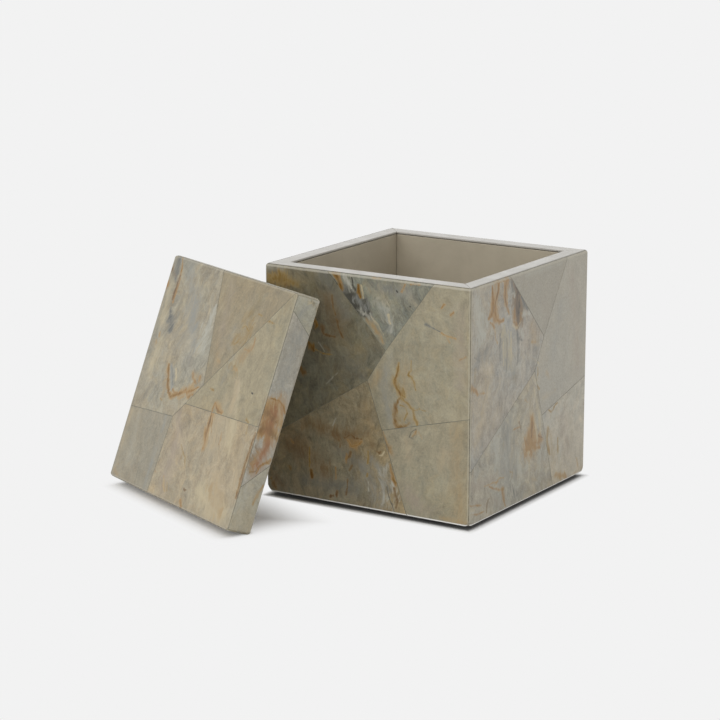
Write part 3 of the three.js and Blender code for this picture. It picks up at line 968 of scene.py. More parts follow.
# %% List the stains of the front wall's lower tiles
stains["front_tile_lower_left"] = [
    ("wash", "slate", 0.35, (0.36, 0.24, 0.1), (0.5, 0.17, 0.12)),
    ("wash", "blue", 0.4, (0.5, 0.2, 0.1), (0.56, 0.06, 0.12)),
    ("wash", "brown", 0.36, (0.15, 0.25, 0.154), (0.27, 0.18, 0.176), (0.3, 0.12, 0.11)),
    ("wash", "brown", 0.3, (0.2, 0.33, 0.11), (0.33, 0.33, 0.132)),
    ("wash", "brown", 0.36, (0.36, 0.3, 0.132), (0.46, 0.28, 0.132)),
    ("wash", "blue", 0.36, (0.0, 0.1, 0.088), (0.05, 0.22, 0.11)),
    ("wash", "blue", 0.42, (0.53, 0.22, 0.088), (0.6, 0.14, 0.11), (0.58, 0.04, 0.11)),
    ("wash", "tan", 0.21, (0.5, 0.46, 0.088), (0.53, 0.35, 0.066)),
    ("wash", "brown", 0.3, (0.51, 0.33, 0.044), (0.53, 0.28, 0.055)),
    ("wash", "slate", 0.4, (0.2, 0.08, 0.1), (0.45, 0.08, 0.13)),
    ("stain", "rust", 0.45, (0.415, 0.29, 0.044), (0.44, 0.272, 0.06), (0.47, 0.285, 0.044)),
    ("wash", "brown", 0.6, (0.04, 0.08, 0.1), (0.08, 0.04, 0.08)),
    ("wash", "brown", 0.5, (0.12, 0.22, 0.12), (0.3, 0.14, 0.14)),
    ("wash", "brown", 0.5, (0.22, 0.33, 0.1), (0.36, 0.3, 0.1), (0.5, 0.33, 0.08)),
    ("vein", "brown", 1.0, (0.398, 0.295, 0.016), (0.428, 0.312, 0.013), (0.45, 0.298, 0.016),
     (0.478, 0.3, 0.013)),
    ("vein", "rust", 1.0, (0.413, 0.285, 0.016), (0.432, 0.262, 0.019), (0.462, 0.272, 0.016),
     (0.482, 0.29, 0.018)),
    ("vein", "brown", 1.0, (0.368, 0.285, 0.029), (0.378, 0.265, 0.023), (0.372, 0.25, 0.013)),
    ("vein", "brown", 1.0, (0.43, 0.238, 0.021), (0.422, 0.222, 0.023), (0.405, 0.2, 0.013)),
    ("vein", "rust", 0.7, (0.41, 0.225, 0.018), (0.404, 0.19, 0.018)),
    ("vein", "brown", 0.82, (0.432, 0.18, 0.018), (0.42, 0.155, 0.016)),
    ("drip", "gold", 1.0, (0.221, 0.228, 0.01), (0.221, 0.18, 0.014), (0.22, 0.14, 0.01)),
    ("stain", "ochre", 1.0, (0.228, 0.128, 0.03), (0.233, 0.1, 0.027)),
    ("drip", "gold", 0.86, (0.514, 0.25, 0.014), (0.511, 0.2, 0.02)),
    ("vein", "gold", 0.82, (0.51, 0.152, 0.021), (0.508, 0.142, 0.021)),
    ("drip", "pale", 0.43, (0.514, 0.12, 0.011), (0.514, 0.08, 0.014)),
    ("drip", "brown", 1.0, (0.556, 0.258, 0.014), (0.568, 0.253, 0.022), (0.575, 0.262, 0.008)),
    ("drip", "cream", 0.99, (0.568, 0.243, 0.011), (0.583, 0.247, 0.015), (0.59, 0.262, 0.008)),
    ("fleck", "slate", 0.44, (0.585, 0.13, 0.04), (0.615, 0.1, 0.04)),
    ("fleck", "pale", 0.33, (0.6, 0.2, 0.04), (0.58, 0.1, 0.06), (0.63, 0.03, 0.05)),
    ("fleck", "pale", 0.44, (0.63, 0.13, 0.02), (0.655, 0.07, 0.025)),
    ("drip", "rust", 0.86, (0.62, 0.21, 0.014), (0.628, 0.18, 0.02), (0.636, 0.15, 0.031),
     (0.645, 0.125, 0.02)),
    ("drip", "ochre", 0.86, (0.634, 0.155, 0.011), (0.644, 0.132, 0.022)),
    ("vein", "brown", 0.82, (0.64, 0.11, 0.016), (0.655, 0.06, 0.018), (0.65, 0.03, 0.016)),
    ("vein", "shade", 1.0, (0.604, 0.11, 0.009), (0.622, 0.06, 0.008), (0.642, 0.006, 0.009)),
    ("vein", "brown", 0.7, (0.413, 0.115, 0.013), (0.412, 0.08, 0.01), (0.405, 0.045, 0.013)),
    ("vein", "rust", 0.7, (0.352, 0.16, 0.016), (0.352, 0.11, 0.016)),
    ("stain", "brown", 0.99, (0.36, 0.055, 0.018), (0.357, 0.04, 0.023)),
    ("stain", "brown", 0.86, (0.325, 0.026, 0.021), (0.34, 0.034, 0.014)),
    ("stain", "ochre", 0.74, (0.028, 0.06, 0.021), (0.045, 0.025, 0.039)),
    ("stain", "ochre", 0.61, (0.118, 0.128, 0.023), (0.124, 0.118, 0.023)),
    ("vein", "rust", 0.59, (0.128, 0.25, 0.016), (0.138, 0.235, 0.016)),
    ("vein", "pale", 0.42, (0.34, 0.34, 0.01), (0.353, 0.375, 0.01)),
]
stains["front_tile_lower_right"] = [
    ("wash", "tan", 0.25, (0.93, 0.42, 0.1), (0.95, 0.2, 0.13), (0.96, 0.0, 0.12)),
    ("wash", "peach", 0.3, (0.7, 0.33, 0.077), (0.71, 0.24, 0.077)),
    ("wash", "peach", 0.3, (0.88, 0.3, 0.088), (0.86, 0.24, 0.088)),
    ("wash", "pink", 0.3, (0.7, 0.12, 0.132), (0.76, 0.05, 0.154)),
    ("wash", "tan", 0.3, (0.86, 0.02, 0.033), (1.0, 0.02, 0.044)),
    ("wash", "rust", 0.3, (0.58, 0.35, 0.022), (0.61, 0.29, 0.044), (0.63, 0.26, 0.033)),
    ("drip", "rust", 0.47, (0.58, 0.352, 0.014), (0.59, 0.33, 0.031), (0.6, 0.3, 0.028),
     (0.615, 0.285, 0.042), (0.622, 0.265, 0.017)),
    ("vein", "brown", 0.54, (0.597, 0.305, 0.013), (0.612, 0.282, 0.016), (0.614, 0.262, 0.013)),
    ("vein", "rust", 0.63, (0.745, 0.378, 0.021), (0.742, 0.362, 0.026), (0.73, 0.345, 0.016)),
    ("vein", "shade", 0.72, (0.742, 0.38, 0.013), (0.722, 0.365, 0.01), (0.714, 0.34, 0.018),
     (0.728, 0.338, 0.013), (0.74, 0.352, 0.01)),
    ("vein", "tan", 0.45, (0.76, 0.37, 0.013), (0.772, 0.345, 0.013)),
]
print("stains on the front:", sum(len(found) for found in stains.values()))

# %% [markdown]
# On the right wall rust has run from the rim in forks beside a dark smear, all of it on the
# upper left tile. The wedge and the upper right tile are nearly plain.

# %% List the stains of the right wall
stains["right_tile_upper_left"] = [
    ("wash", "pale", 0.48, (0.05, 0.95, 0.176), (0.07, 0.78, 0.154)),
    ("wash", "blue", 0.3, (0.12, 0.96, 0.088), (0.2, 0.97, 0.055)),
    ("wash", "slate", 0.2, (0.12, 0.72, 0.132), (0.05, 0.7, 0.11)),
    ("wash", "peach", 0.36, (0.17, 0.64, 0.11), (0.05, 0.35, 0.176)),
    ("wash", "peach", 0.3, (0.22, 0.46, 0.154), (0.18, 0.38, 0.11)),
    ("wash", "tan", 0.24, (0.5, 0.76, 0.088), (0.53, 0.68, 0.066)),
    ("wash", "pink", 0.24, (0.44, 0.76, 0.077), (0.46, 0.68, 0.088)),
    ("wash", "olive", 0.25, (0.26, 0.77, 0.077), (0.31, 0.62, 0.11), (0.36, 0.57, 0.088)),
    ("fleck", "pale", 0.39, (0.03, 0.93, 0.08), (0.1, 0.83, 0.14), (0.05, 0.76, 0.08)),
    ("fleck", "blue", 0.33, (0.28, 0.78, 0.12), (0.3, 0.62, 0.14)),
    ("fleck", "cream", 0.28, (0.27, 0.75, 0.1), (0.33, 0.64, 0.1)),
    ("wash", "tan", 0.36, (0.19, 1.0, 0.055), (0.18, 0.88, 0.077), (0.22, 0.83, 0.066)),
    ("wash", "tan", 0.3, (0.29, 0.99, 0.055), (0.28, 0.9, 0.044)),
    ("stain", "rust", 0.86, (0.175, 0.93, 0.039), (0.185, 0.88, 0.091), (0.195, 0.84, 0.065)),
    ("stain", "rust", 0.69, (0.2, 0.845, 0.052), (0.23, 0.825, 0.039), (0.262, 0.825, 0.021)),
    ("stain", "rust", 0.69, (0.288, 1.0, 0.065), (0.272, 0.94, 0.058), (0.28, 0.89, 0.046)),
    ("stain", "umber", 0.92, (0.355, 0.88, 0.065), (0.38, 0.85, 0.117), (0.4, 0.81, 0.065)),
    ("wash", "umber", 0.9, (0.34, 0.97, 0.05), (0.38, 0.88, 0.11), (0.385, 0.8, 0.08)),
    ("stain", "umber", 1.0, (0.385, 0.9, 0.065), (0.385, 0.85, 0.117), (0.39, 0.81, 0.065)),
    ("drip", "rust", 0.98, (0.165, 0.985, 0.011), (0.17, 0.94, 0.025), (0.178, 0.895, 0.056),
     (0.165, 0.868, 0.056), (0.14, 0.855, 0.025)),
    ("drip", "rust", 1.0, (0.218, 1.0, 0.02), (0.213, 0.955, 0.028), (0.195, 0.91, 0.031),
     (0.192, 0.87, 0.042), (0.205, 0.84, 0.036), (0.232, 0.822, 0.02), (0.262, 0.824, 0.014)),
    ("drip", "brown", 0.44, (0.212, 0.96, 0.017), (0.195, 0.91, 0.02), (0.175, 0.875, 0.014)),
    ("drip", "rust", 0.87, (0.155, 0.835, 0.014), (0.172, 0.825, 0.025), (0.186, 0.806, 0.017)),
    ("vein", "tan", 0.54, (0.188, 0.808, 0.013), (0.196, 0.76, 0.013), (0.208, 0.735, 0.021)),
    ("vein", "rust", 0.72, (0.2, 0.99, 0.018), (0.25, 0.99, 0.016), (0.3, 0.985, 0.021)),
    ("drip", "rust", 0.87, (0.285, 1.0, 0.036), (0.272, 0.96, 0.034), (0.27, 0.92, 0.042),
     (0.288, 0.88, 0.034), (0.308, 0.838, 0.017)),
    ("drip", "brown", 0.38, (0.278, 0.98, 0.014), (0.27, 0.92, 0.022), (0.29, 0.87, 0.017)),
    ("stain", "umber", 1.0, (0.335, 0.985, 0.044), (0.36, 0.94, 0.09), (0.385, 0.905, 0.074)),
    ("stain", "umber", 1.0, (0.37, 0.91, 0.09), (0.375, 0.86, 0.134), (0.385, 0.81, 0.105),
     (0.378, 0.778, 0.044)),
    ("stain", "rust", 0.66, (0.345, 0.85, 0.044), (0.35, 0.8, 0.044), (0.375, 0.775, 0.03)),
    ("drip", "black", 0.49, (0.392, 0.9, 0.015), (0.393, 0.86, 0.033), (0.39, 0.83, 0.013)),
    ("drip", "black", 0.38, (0.36, 0.945, 0.015), (0.38, 0.92, 0.029), (0.395, 0.905, 0.009)),
    ("drip", "rust", 0.54, (0.407, 0.82, 0.028), (0.405, 0.795, 0.028)),
    ("stain", "slate", 0.87, (0.325, 0.975, 0.03), (0.338, 0.93, 0.051)),
    ("stain", "slate", 0.98, (0.41, 0.895, 0.023), (0.43, 0.865, 0.051), (0.46, 0.835, 0.039)),
    ("fleck", "pale", 0.5, (0.43, 0.82, 0.03), (0.49, 0.808, 0.03)),
    ("fleck", "pale", 0.5, (0.34, 0.925, 0.02), (0.352, 0.912, 0.022)),
    ("fleck", "cream", 0.5, (0.34, 0.785, 0.022), (0.375, 0.77, 0.02), (0.405, 0.79, 0.014)),
    ("stain", "slate", 0.76, (0.375, 0.76, 0.021), (0.385, 0.725, 0.044), (0.42, 0.708, 0.018)),
    ("fleck", "pale", 0.44, (0.4, 0.755, 0.024), (0.43, 0.725, 0.03)),
    ("drip", "slate", 0.6, (0.385, 0.72, 0.028), (0.388, 0.66, 0.031), (0.38, 0.61, 0.017)),
    ("drip", "slate", 0.44, (0.235, 0.77, 0.014), (0.235, 0.71, 0.028), (0.237, 0.66, 0.014)),
    ("drip", "slate", 0.32, (0.29, 0.74, 0.02), (0.295, 0.67, 0.028), (0.29, 0.6, 0.017)),
    ("drip", "cream", 0.54, (0.325, 0.76, 0.017), (0.33, 0.7, 0.034), (0.335, 0.64, 0.014)),
    ("drip", "cream", 0.54, (0.265, 0.73, 0.014), (0.262, 0.68, 0.022), (0.268, 0.63, 0.011)),
    ("wash", "blue", 0.36, (0.31, 0.585, 0.033), (0.38, 0.578, 0.022)),
    ("wash", "gold", 0.3, (0.035, 0.66, 0.033), (0.03, 0.61, 0.044)),
    ("stain", "rust", 0.76, (0.015, 0.585, 0.044), (0.035, 0.575, 0.044), (0.06, 0.552, 0.023)),
    ("vein", "tan", 0.63, (0.06, 0.552, 0.026), (0.12, 0.545, 0.018)),
    ("vein", "tan", 0.54, (0.5, 0.685, 0.026), (0.53, 0.68, 0.026)),
    ("vein", "slate", 0.45, (0.03, 0.71, 0.016), (0.07, 0.688, 0.016)),
]
stains["right_tile_top_wedge"] = [
    ("wash", "pale", 0.24, (0.45, 0.98, 0.066), (0.75, 0.98, 0.044)),
    ("wash", "pink", 0.18, (0.6, 0.85, 0.11), (0.63, 0.78, 0.088)),
]
stains["right_tile_upper_right"] = [
    ("wash", "pink", 0.27, (0.85, 0.93, 0.132), (0.92, 0.5, 0.154)),
    ("wash", "blue", 0.18, (0.75, 0.8, 0.11), (0.7, 0.6, 0.11)),
    ("wash", "blue", 0.3, (0.55, 0.6, 0.066), (0.53, 0.52, 0.044)),
    ("drip", "cream", 0.66, (0.553, 0.592, 0.014), (0.57, 0.578, 0.02)),
    ("vein", "gold", 0.54, (0.557, 0.565, 0.016), (0.56, 0.54, 0.021), (0.555, 0.51, 0.016)),
    ("vein", "gold", 0.63, (0.558, 0.485, 0.016), (0.575, 0.465, 0.023)),
    ("wash", "tan", 0.3, (0.64, 0.53, 0.044), (0.66, 0.5, 0.044)),
    ("wash", "peach", 0.24, (0.62, 0.42, 0.066), (0.72, 0.43, 0.033)),
]
print("stains so far:", sum(len(found) for found in stains.values()))

# %% [markdown]
# Lower down the rust gathers in one patch under a pale point, with small curls near the foot.

# %% List the stains of the right wall's lower tiles
stains["right_tile_lower_left"] = [
    ("wash", "blue", 0.42, (0.33, 0.38, 0.132), (0.28, 0.2, 0.22)),
    ("wash", "blue", 0.3, (0.45, 0.42, 0.11), (0.5, 0.48, 0.055)),
    ("wash", "slate", 0.18, (0.45, 0.16, 0.077), (0.46, 0.12, 0.077)),
    ("wash", "pink", 0.24, (0.05, 0.17, 0.132), (0.2, 0.16, 0.088)),
    ("wash", "pink", 0.24, (0.21, 0.07, 0.066), (0.25, 0.04, 0.055)),
    ("fleck", "pale", 0.28, (0.22, 0.33, 0.16), (0.32, 0.18, 0.18)),
    ("fleck", "slate", 0.19, (0.3, 0.38, 0.12), (0.34, 0.15, 0.16)),
    ("wash", "cream", 0.54, (0.53, 0.48, 0.033), (0.575, 0.36, 0.055), (0.595, 0.28, 0.033)),
    ("wash", "peach", 0.48, (0.5, 0.38, 0.055), (0.53, 0.33, 0.077)),
    ("stain", "tan", 0.76, (0.515, 0.36, 0.044), (0.51, 0.29, 0.12), (0.5, 0.23, 0.165)),
    ("stain", "rust", 0.81, (0.517, 0.345, 0.018), (0.515, 0.3, 0.06), (0.49, 0.265, 0.09),
     (0.47, 0.24, 0.074), (0.47, 0.195, 0.03)),
    ("stain", "rust", 0.81, (0.52, 0.28, 0.06), (0.525, 0.24, 0.09), (0.55, 0.215, 0.06),
     (0.59, 0.205, 0.03)),
    ("stain", "rust", 0.85, (0.575, 0.262, 0.023), (0.585, 0.25, 0.06), (0.605, 0.235, 0.03)),
    ("stain", "rust", 0.6, (0.517, 0.35, 0.033), (0.512, 0.3, 0.091), (0.5, 0.25, 0.156)),
    ("stain", "rust", 0.6, (0.47, 0.25, 0.078), (0.53, 0.24, 0.104), (0.59, 0.23, 0.091)),
    ("drip", "brown", 0.47, (0.518, 0.335, 0.017), (0.515, 0.3, 0.028), (0.51, 0.27, 0.017)),
    ("drip", "brown", 0.47, (0.575, 0.262, 0.011), (0.595, 0.252, 0.017), (0.612, 0.245, 0.008)),
    ("drip", "brown", 0.38, (0.47, 0.265, 0.028), (0.485, 0.245, 0.036)),
    ("drip", "cream", 0.57, (0.545, 0.32, 0.014), (0.56, 0.28, 0.022), (0.565, 0.24, 0.011)),
    ("fleck", "cream", 0.33, (0.48, 0.205, 0.02), (0.5, 0.2, 0.02)),
    ("drip", "brown", 0.62, (0.405, 0.357, 0.017), (0.41, 0.345, 0.017), (0.42, 0.325, 0.011)),
    ("vein", "rust", 0.63, (0.355, 0.338, 0.01), (0.385, 0.34, 0.013), (0.41, 0.335, 0.013)),
    ("vein", "tan", 0.63, (0.455, 0.445, 0.018), (0.475, 0.43, 0.016)),
    ("vein", "tan", 0.72, (0.12, 0.148, 0.01), (0.19, 0.148, 0.013), (0.222, 0.14, 0.023),
     (0.248, 0.152, 0.013), (0.28, 0.148, 0.01)),
    ("drip", "rust", 0.66, (0.16, 0.14, 0.011), (0.2, 0.12, 0.02), (0.24, 0.103, 0.02),
     (0.27, 0.098, 0.031), (0.28, 0.07, 0.025), (0.285, 0.045, 0.02), (0.295, 0.02, 0.02)),
    ("drip", "gold", 0.47, (0.262, 0.103, 0.014), (0.28, 0.096, 0.02)),
    ("vein", "rust", 0.68, (0.0, 0.095, 0.01), (0.045, 0.085, 0.013), (0.09, 0.072, 0.016)),
    ("vein", "rust", 0.68, (0.02, 0.058, 0.013), (0.06, 0.042, 0.018), (0.12, 0.04, 0.013)),
    ("vein", "brown", 0.54, (0.158, 0.085, 0.013), (0.142, 0.068, 0.026), (0.138, 0.03, 0.013)),
    ("drip", "pale", 0.57, (0.015, 0.06, 0.017), (0.05, 0.052, 0.017)),
    ("wash", "pale", 0.36, (0.0, 0.025, 0.033), (0.08, 0.01, 0.022)),
    ("drip", "slate", 0.47, (0.36, 0.1, 0.014), (0.365, 0.07, 0.028), (0.375, 0.04, 0.014)),
    ("drip", "slate", 0.47, (0.385, 0.07, 0.017), (0.395, 0.045, 0.022)),
    ("wash", "tan", 0.3, (0.53, 0.078, 0.033), (0.57, 0.062, 0.022)),
    ("vein", "gold", 0.45, (0.335, 0.16, 0.018), (0.355, 0.15, 0.016), (0.35, 0.13, 0.016)),
]
stains["right_tile_lower_right"] = [
    ("wash", "blue", 0.3, (0.63, 0.35, 0.055), (0.63, 0.22, 0.044)),
    ("wash", "gold", 0.24, (0.68, 0.25, 0.055), (0.72, 0.12, 0.088)),
    ("wash", "pink", 0.24, (0.8, 0.3, 0.154), (0.85, 0.1, 0.154)),
    ("stain", "tan", 0.8, (0.735, 0.05, 0.04), (0.78, 0.035, 0.065), (0.83, 0.02, 0.045)),
    ("drip", "gold", 0.43, (0.66, 0.275, 0.025), (0.655, 0.24, 0.031), (0.658, 0.2, 0.022)),
    ("stain", "gold", 0.71, (0.652, 0.2, 0.021), (0.663, 0.18, 0.039), (0.678, 0.155, 0.021)),
    ("drip", "gold", 0.47, (0.748, 0.21, 0.017), (0.748, 0.17, 0.025), (0.755, 0.14, 0.02)),
    ("vein", "gold", 0.77, (0.66, 0.355, 0.013), (0.69, 0.343, 0.021), (0.705, 0.348, 0.013),
     (0.722, 0.365, 0.018), (0.742, 0.368, 0.016)),
    ("fleck", "pale", 0.28, (0.7, 0.33, 0.03), (0.76, 0.325, 0.03)),
    ("vein", "tan", 0.45, (0.93, 0.075, 0.026), (0.94, 0.04, 0.026)),
    ("wash", "tan", 0.24, (0.9, 0.015, 0.033), (1.0, 0.03, 0.033)),
    ("wash", "gold", 0.5, (0.66, 0.27, 0.04), (0.655, 0.22, 0.045), (0.672, 0.17, 0.04)),
    ("wash", "gold", 0.4, (0.75, 0.2, 0.035), (0.752, 0.15, 0.035)),
]
print("stains so far:", sum(len(found) for found in stains.values()))

# %% [markdown]
# The lid's face is warmer and softer: broad bands of cream and peach, a dark smear near the
# upper corner, and one hooked vein of rust.

# %% List the stains of the lid's face
stains["lid_tile_upper_left"] = [
    ("wash", "blue", 0.36, (0.17, 0.95, 0.132), (0.27, 0.8, 0.176), (0.3, 0.72, 0.11)),
    ("wash", "pink", 0.18, (0.35, 0.6, 0.132), (0.4, 0.56, 0.088)),
    ("wash", "cream", 0.45, (0.03, 0.9, 0.066), (0.05, 0.75, 0.099), (0.06, 0.7, 0.077)),
    ("wash", "cream", 0.42, (0.09, 0.63, 0.077), (0.08, 0.5, 0.099)),
    ("wash", "pale", 0.36, (0.14, 0.58, 0.088), (0.17, 0.5, 0.088)),
    ("wash", "tan", 0.3, (0.2, 0.56, 0.044), (0.24, 0.4, 0.066)),
    ("wash", "pale", 0.51, (0.425, 0.8, 0.044), (0.43, 0.7, 0.077), (0.45, 0.64, 0.055)),
    ("fleck", "pale", 0.44, (0.43, 0.82, 0.05), (0.42, 0.66, 0.09)),
    ("fleck", "blue", 0.22, (0.25, 0.8, 0.14), (0.3, 0.65, 0.14)),
    ("stain", "slate", 0.85, (0.05, 0.99, 0.044), (0.065, 0.93, 0.044), (0.062, 0.9, 0.018)),
    ("stain", "brown", 0.56, (0.01, 0.94, 0.044), (0.06, 0.91, 0.03)),
    ("wash", "slate", 0.45, (0.05, 1.0, 0.09), (0.055, 0.93, 0.09), (0.075, 0.89, 0.04)),
    ("stain", "tan", 0.84, (0.3, 0.425, 0.039), (0.36, 0.445, 0.065), (0.45, 0.48, 0.065)),
    ("wash", "tan", 0.5, (0.42, 0.55, 0.06), (0.48, 0.53, 0.06)),
    ("drip", "rust", 0.79, (0.068, 1.0, 0.017), (0.088, 0.96, 0.017), (0.098, 0.92, 0.022)),
    ("drip", "brown", 0.91, (0.095, 0.92, 0.02), (0.09, 0.87, 0.042), (0.092, 0.81, 0.028)),
    ("drip", "rust", 0.79, (0.104, 0.91, 0.017), (0.1, 0.85, 0.02), (0.1, 0.8, 0.017)),
    ("stain", "slate", 0.91, (0.1, 0.765, 0.03), (0.125, 0.72, 0.074), (0.15, 0.68, 0.044)),
    ("wash", "slate", 0.24, (0.12, 0.76, 0.044), (0.14, 0.74, 0.033)),
    ("stain", "rust", 1.0, (-0.005, 0.88, 0.044), (0.012, 0.86, 0.048), (0.0, 0.83, 0.03)),
    ("vein", "tan", 0.72, (0.065, 0.66, 0.026), (0.07, 0.645, 0.031)),
    ("vein", "tan", 0.63, (0.055, 0.625, 0.018), (0.062, 0.61, 0.026)),
    ("drip", "blue", 1.0, (0.238, 0.54, 0.04), (0.27, 0.495, 0.066), (0.288, 0.452, 0.036)),
    ("drip", "slate", 0.5, (0.245, 0.535, 0.02), (0.272, 0.5, 0.03), (0.285, 0.47, 0.02)),
    ("drip", "cream", 0.91, (0.278, 0.535, 0.014), (0.292, 0.515, 0.022), (0.305, 0.49, 0.011)),
    ("drip", "rust", 1.0, (0.212, 0.545, 0.017), (0.228, 0.51, 0.036), (0.248, 0.47, 0.042),
     (0.27, 0.435, 0.034), (0.298, 0.418, 0.042), (0.33, 0.43, 0.034), (0.37, 0.448, 0.034),
     (0.395, 0.465, 0.022)),
    ("vein", "ochre", 0.63, (0.225, 0.52, 0.013), (0.25, 0.465, 0.021), (0.272, 0.43, 0.013),
     (0.3, 0.415, 0.018)),
    ("vein", "rust", 0.72, (0.298, 0.45, 0.021), (0.32, 0.44, 0.018), (0.35, 0.445, 0.013)),
    ("drip", "rust", 0.97, (0.385, 0.455, 0.02), (0.42, 0.462, 0.031), (0.45, 0.478, 0.02),
     (0.49, 0.5, 0.017)),
    ("stain", "rust", 0.74, (0.4, 0.47, 0.03), (0.43, 0.445, 0.03), (0.46, 0.46, 0.021)),
    ("stain", "rust", 0.68, (0.42, 0.545, 0.03), (0.435, 0.525, 0.039), (0.46, 0.51, 0.018)),
    ("stain", "rust", 0.68, (0.478, 0.545, 0.021), (0.484, 0.528, 0.027)),
    ("vein", "tan", 0.63, (0.36, 0.42, 0.018), (0.4, 0.44, 0.018)),
    ("vein", "gold", 0.72, (0.225, 0.393, 0.013), (0.242, 0.388, 0.013)),
    ("vein", "slate", 0.45, (0.2, 0.632, 0.008), (0.215, 0.63, 0.008)),
    ("wash", "blue", 0.45, (0.24, 0.88, 0.12), (0.3, 0.76, 0.14), (0.36, 0.66, 0.1)),
    ("drip", "ochre", 0.5, (0.212, 0.545, 0.014), (0.228, 0.51, 0.028), (0.248, 0.47, 0.032),
     (0.27, 0.435, 0.026), (0.298, 0.418, 0.032), (0.33, 0.43, 0.026), (0.37, 0.448, 0.026)),
]
stains["lid_tile_top"] = [
    ("wash", "pink", 0.24, (0.5, 0.95, 0.154), (0.56, 0.7, 0.154)),
    ("wash", "tan", 0.24, (0.52, 0.72, 0.11), (0.57, 0.62, 0.088)),
    ("wash", "olive", 0.21, (0.75, 0.94, 0.088), (0.72, 0.86, 0.088)),
    ("wash", "blue", 0.3, (0.62, 0.78, 0.066), (0.63, 0.7, 0.066)),
    ("fleck", "gold", 0.33, (0.7, 0.84, 0.08), (0.74, 0.79, 0.08), (0.66, 0.72, 0.07)),
    ("vein", "gold", 0.68, (0.675, 0.79, 0.016), (0.7, 0.805, 0.016), (0.73, 0.79, 0.013)),
    ("vein", "gold", 0.63, (0.655, 0.72, 0.018), (0.68, 0.735, 0.016)),
    ("vein", "gold", 0.63, (0.77, 0.868, 0.018), (0.795, 0.868, 0.018)),
    ("vein", "tan", 0.45, (0.565, 0.635, 0.018), (0.59, 0.625, 0.026)),
]
stains["lid_tile_right"] = [
    ("wash", "tan", 0.29, (0.7, 0.66, 0.11), (0.78, 0.72, 0.088)),
    ("wash", "blue", 0.29, (0.68, 0.68, 0.088), (0.65, 0.55, 0.066)),
    ("wash", "cream", 0.61, (0.78, 0.57, 0.066), (0.8, 0.5, 0.066), (0.83, 0.42, 0.055)),
    ("wash", "peach", 0.36, (0.72, 0.5, 0.088), (0.73, 0.43, 0.077)),
    ("wash", "peach", 0.72, (0.76, 0.58, 0.08), (0.78, 0.46, 0.09)),
    ("stain", "tan", 0.72, (0.65, 0.46, 0.039), (0.69, 0.445, 0.065), (0.72, 0.44, 0.026)),
    ("vein", "gold", 0.72, (0.84, 0.848, 0.016), (0.865, 0.852, 0.023), (0.895, 0.85, 0.016)),
    ("vein", "rust", 0.72, (0.792, 0.77, 0.016), (0.797, 0.745, 0.023), (0.79, 0.72, 0.016)),
    ("vein", "rust", 0.54, (0.745, 0.715, 0.018), (0.78, 0.712, 0.018)),
    ("fleck", "gold", 0.33, (0.68, 0.64, 0.05), (0.72, 0.62, 0.05)),
    ("stain", "tan", 0.79, (0.71, 0.625, 0.023), (0.735, 0.62, 0.023)),
    ("vein", "gold", 0.63, (0.58, 0.512, 0.018), (0.605, 0.51, 0.016)),
    ("drip", "rust", 0.79, (0.648, 0.47, 0.011), (0.64, 0.44, 0.017), (0.642, 0.41, 0.02)),
    ("drip", "rust", 1.0, (0.65, 0.465, 0.014), (0.668, 0.447, 0.025), (0.69, 0.437, 0.034),
     (0.715, 0.435, 0.02)),
    ("vein", "brown", 0.54, (0.66, 0.45, 0.01), (0.68, 0.438, 0.018), (0.7, 0.438, 0.013)),
    ("vein", "gold", 0.63, (0.9, 0.45, 0.018), (0.92, 0.437, 0.023)),
    ("stain", "brown", 0.3, (0.99, 0.57, 0.014), (0.994, 0.52, 0.03), (0.995, 0.43, 0.03)),
    ("drip", "black", 1.0, (0.886, 0.558, 0.012), (0.894, 0.556, 0.01)),
]
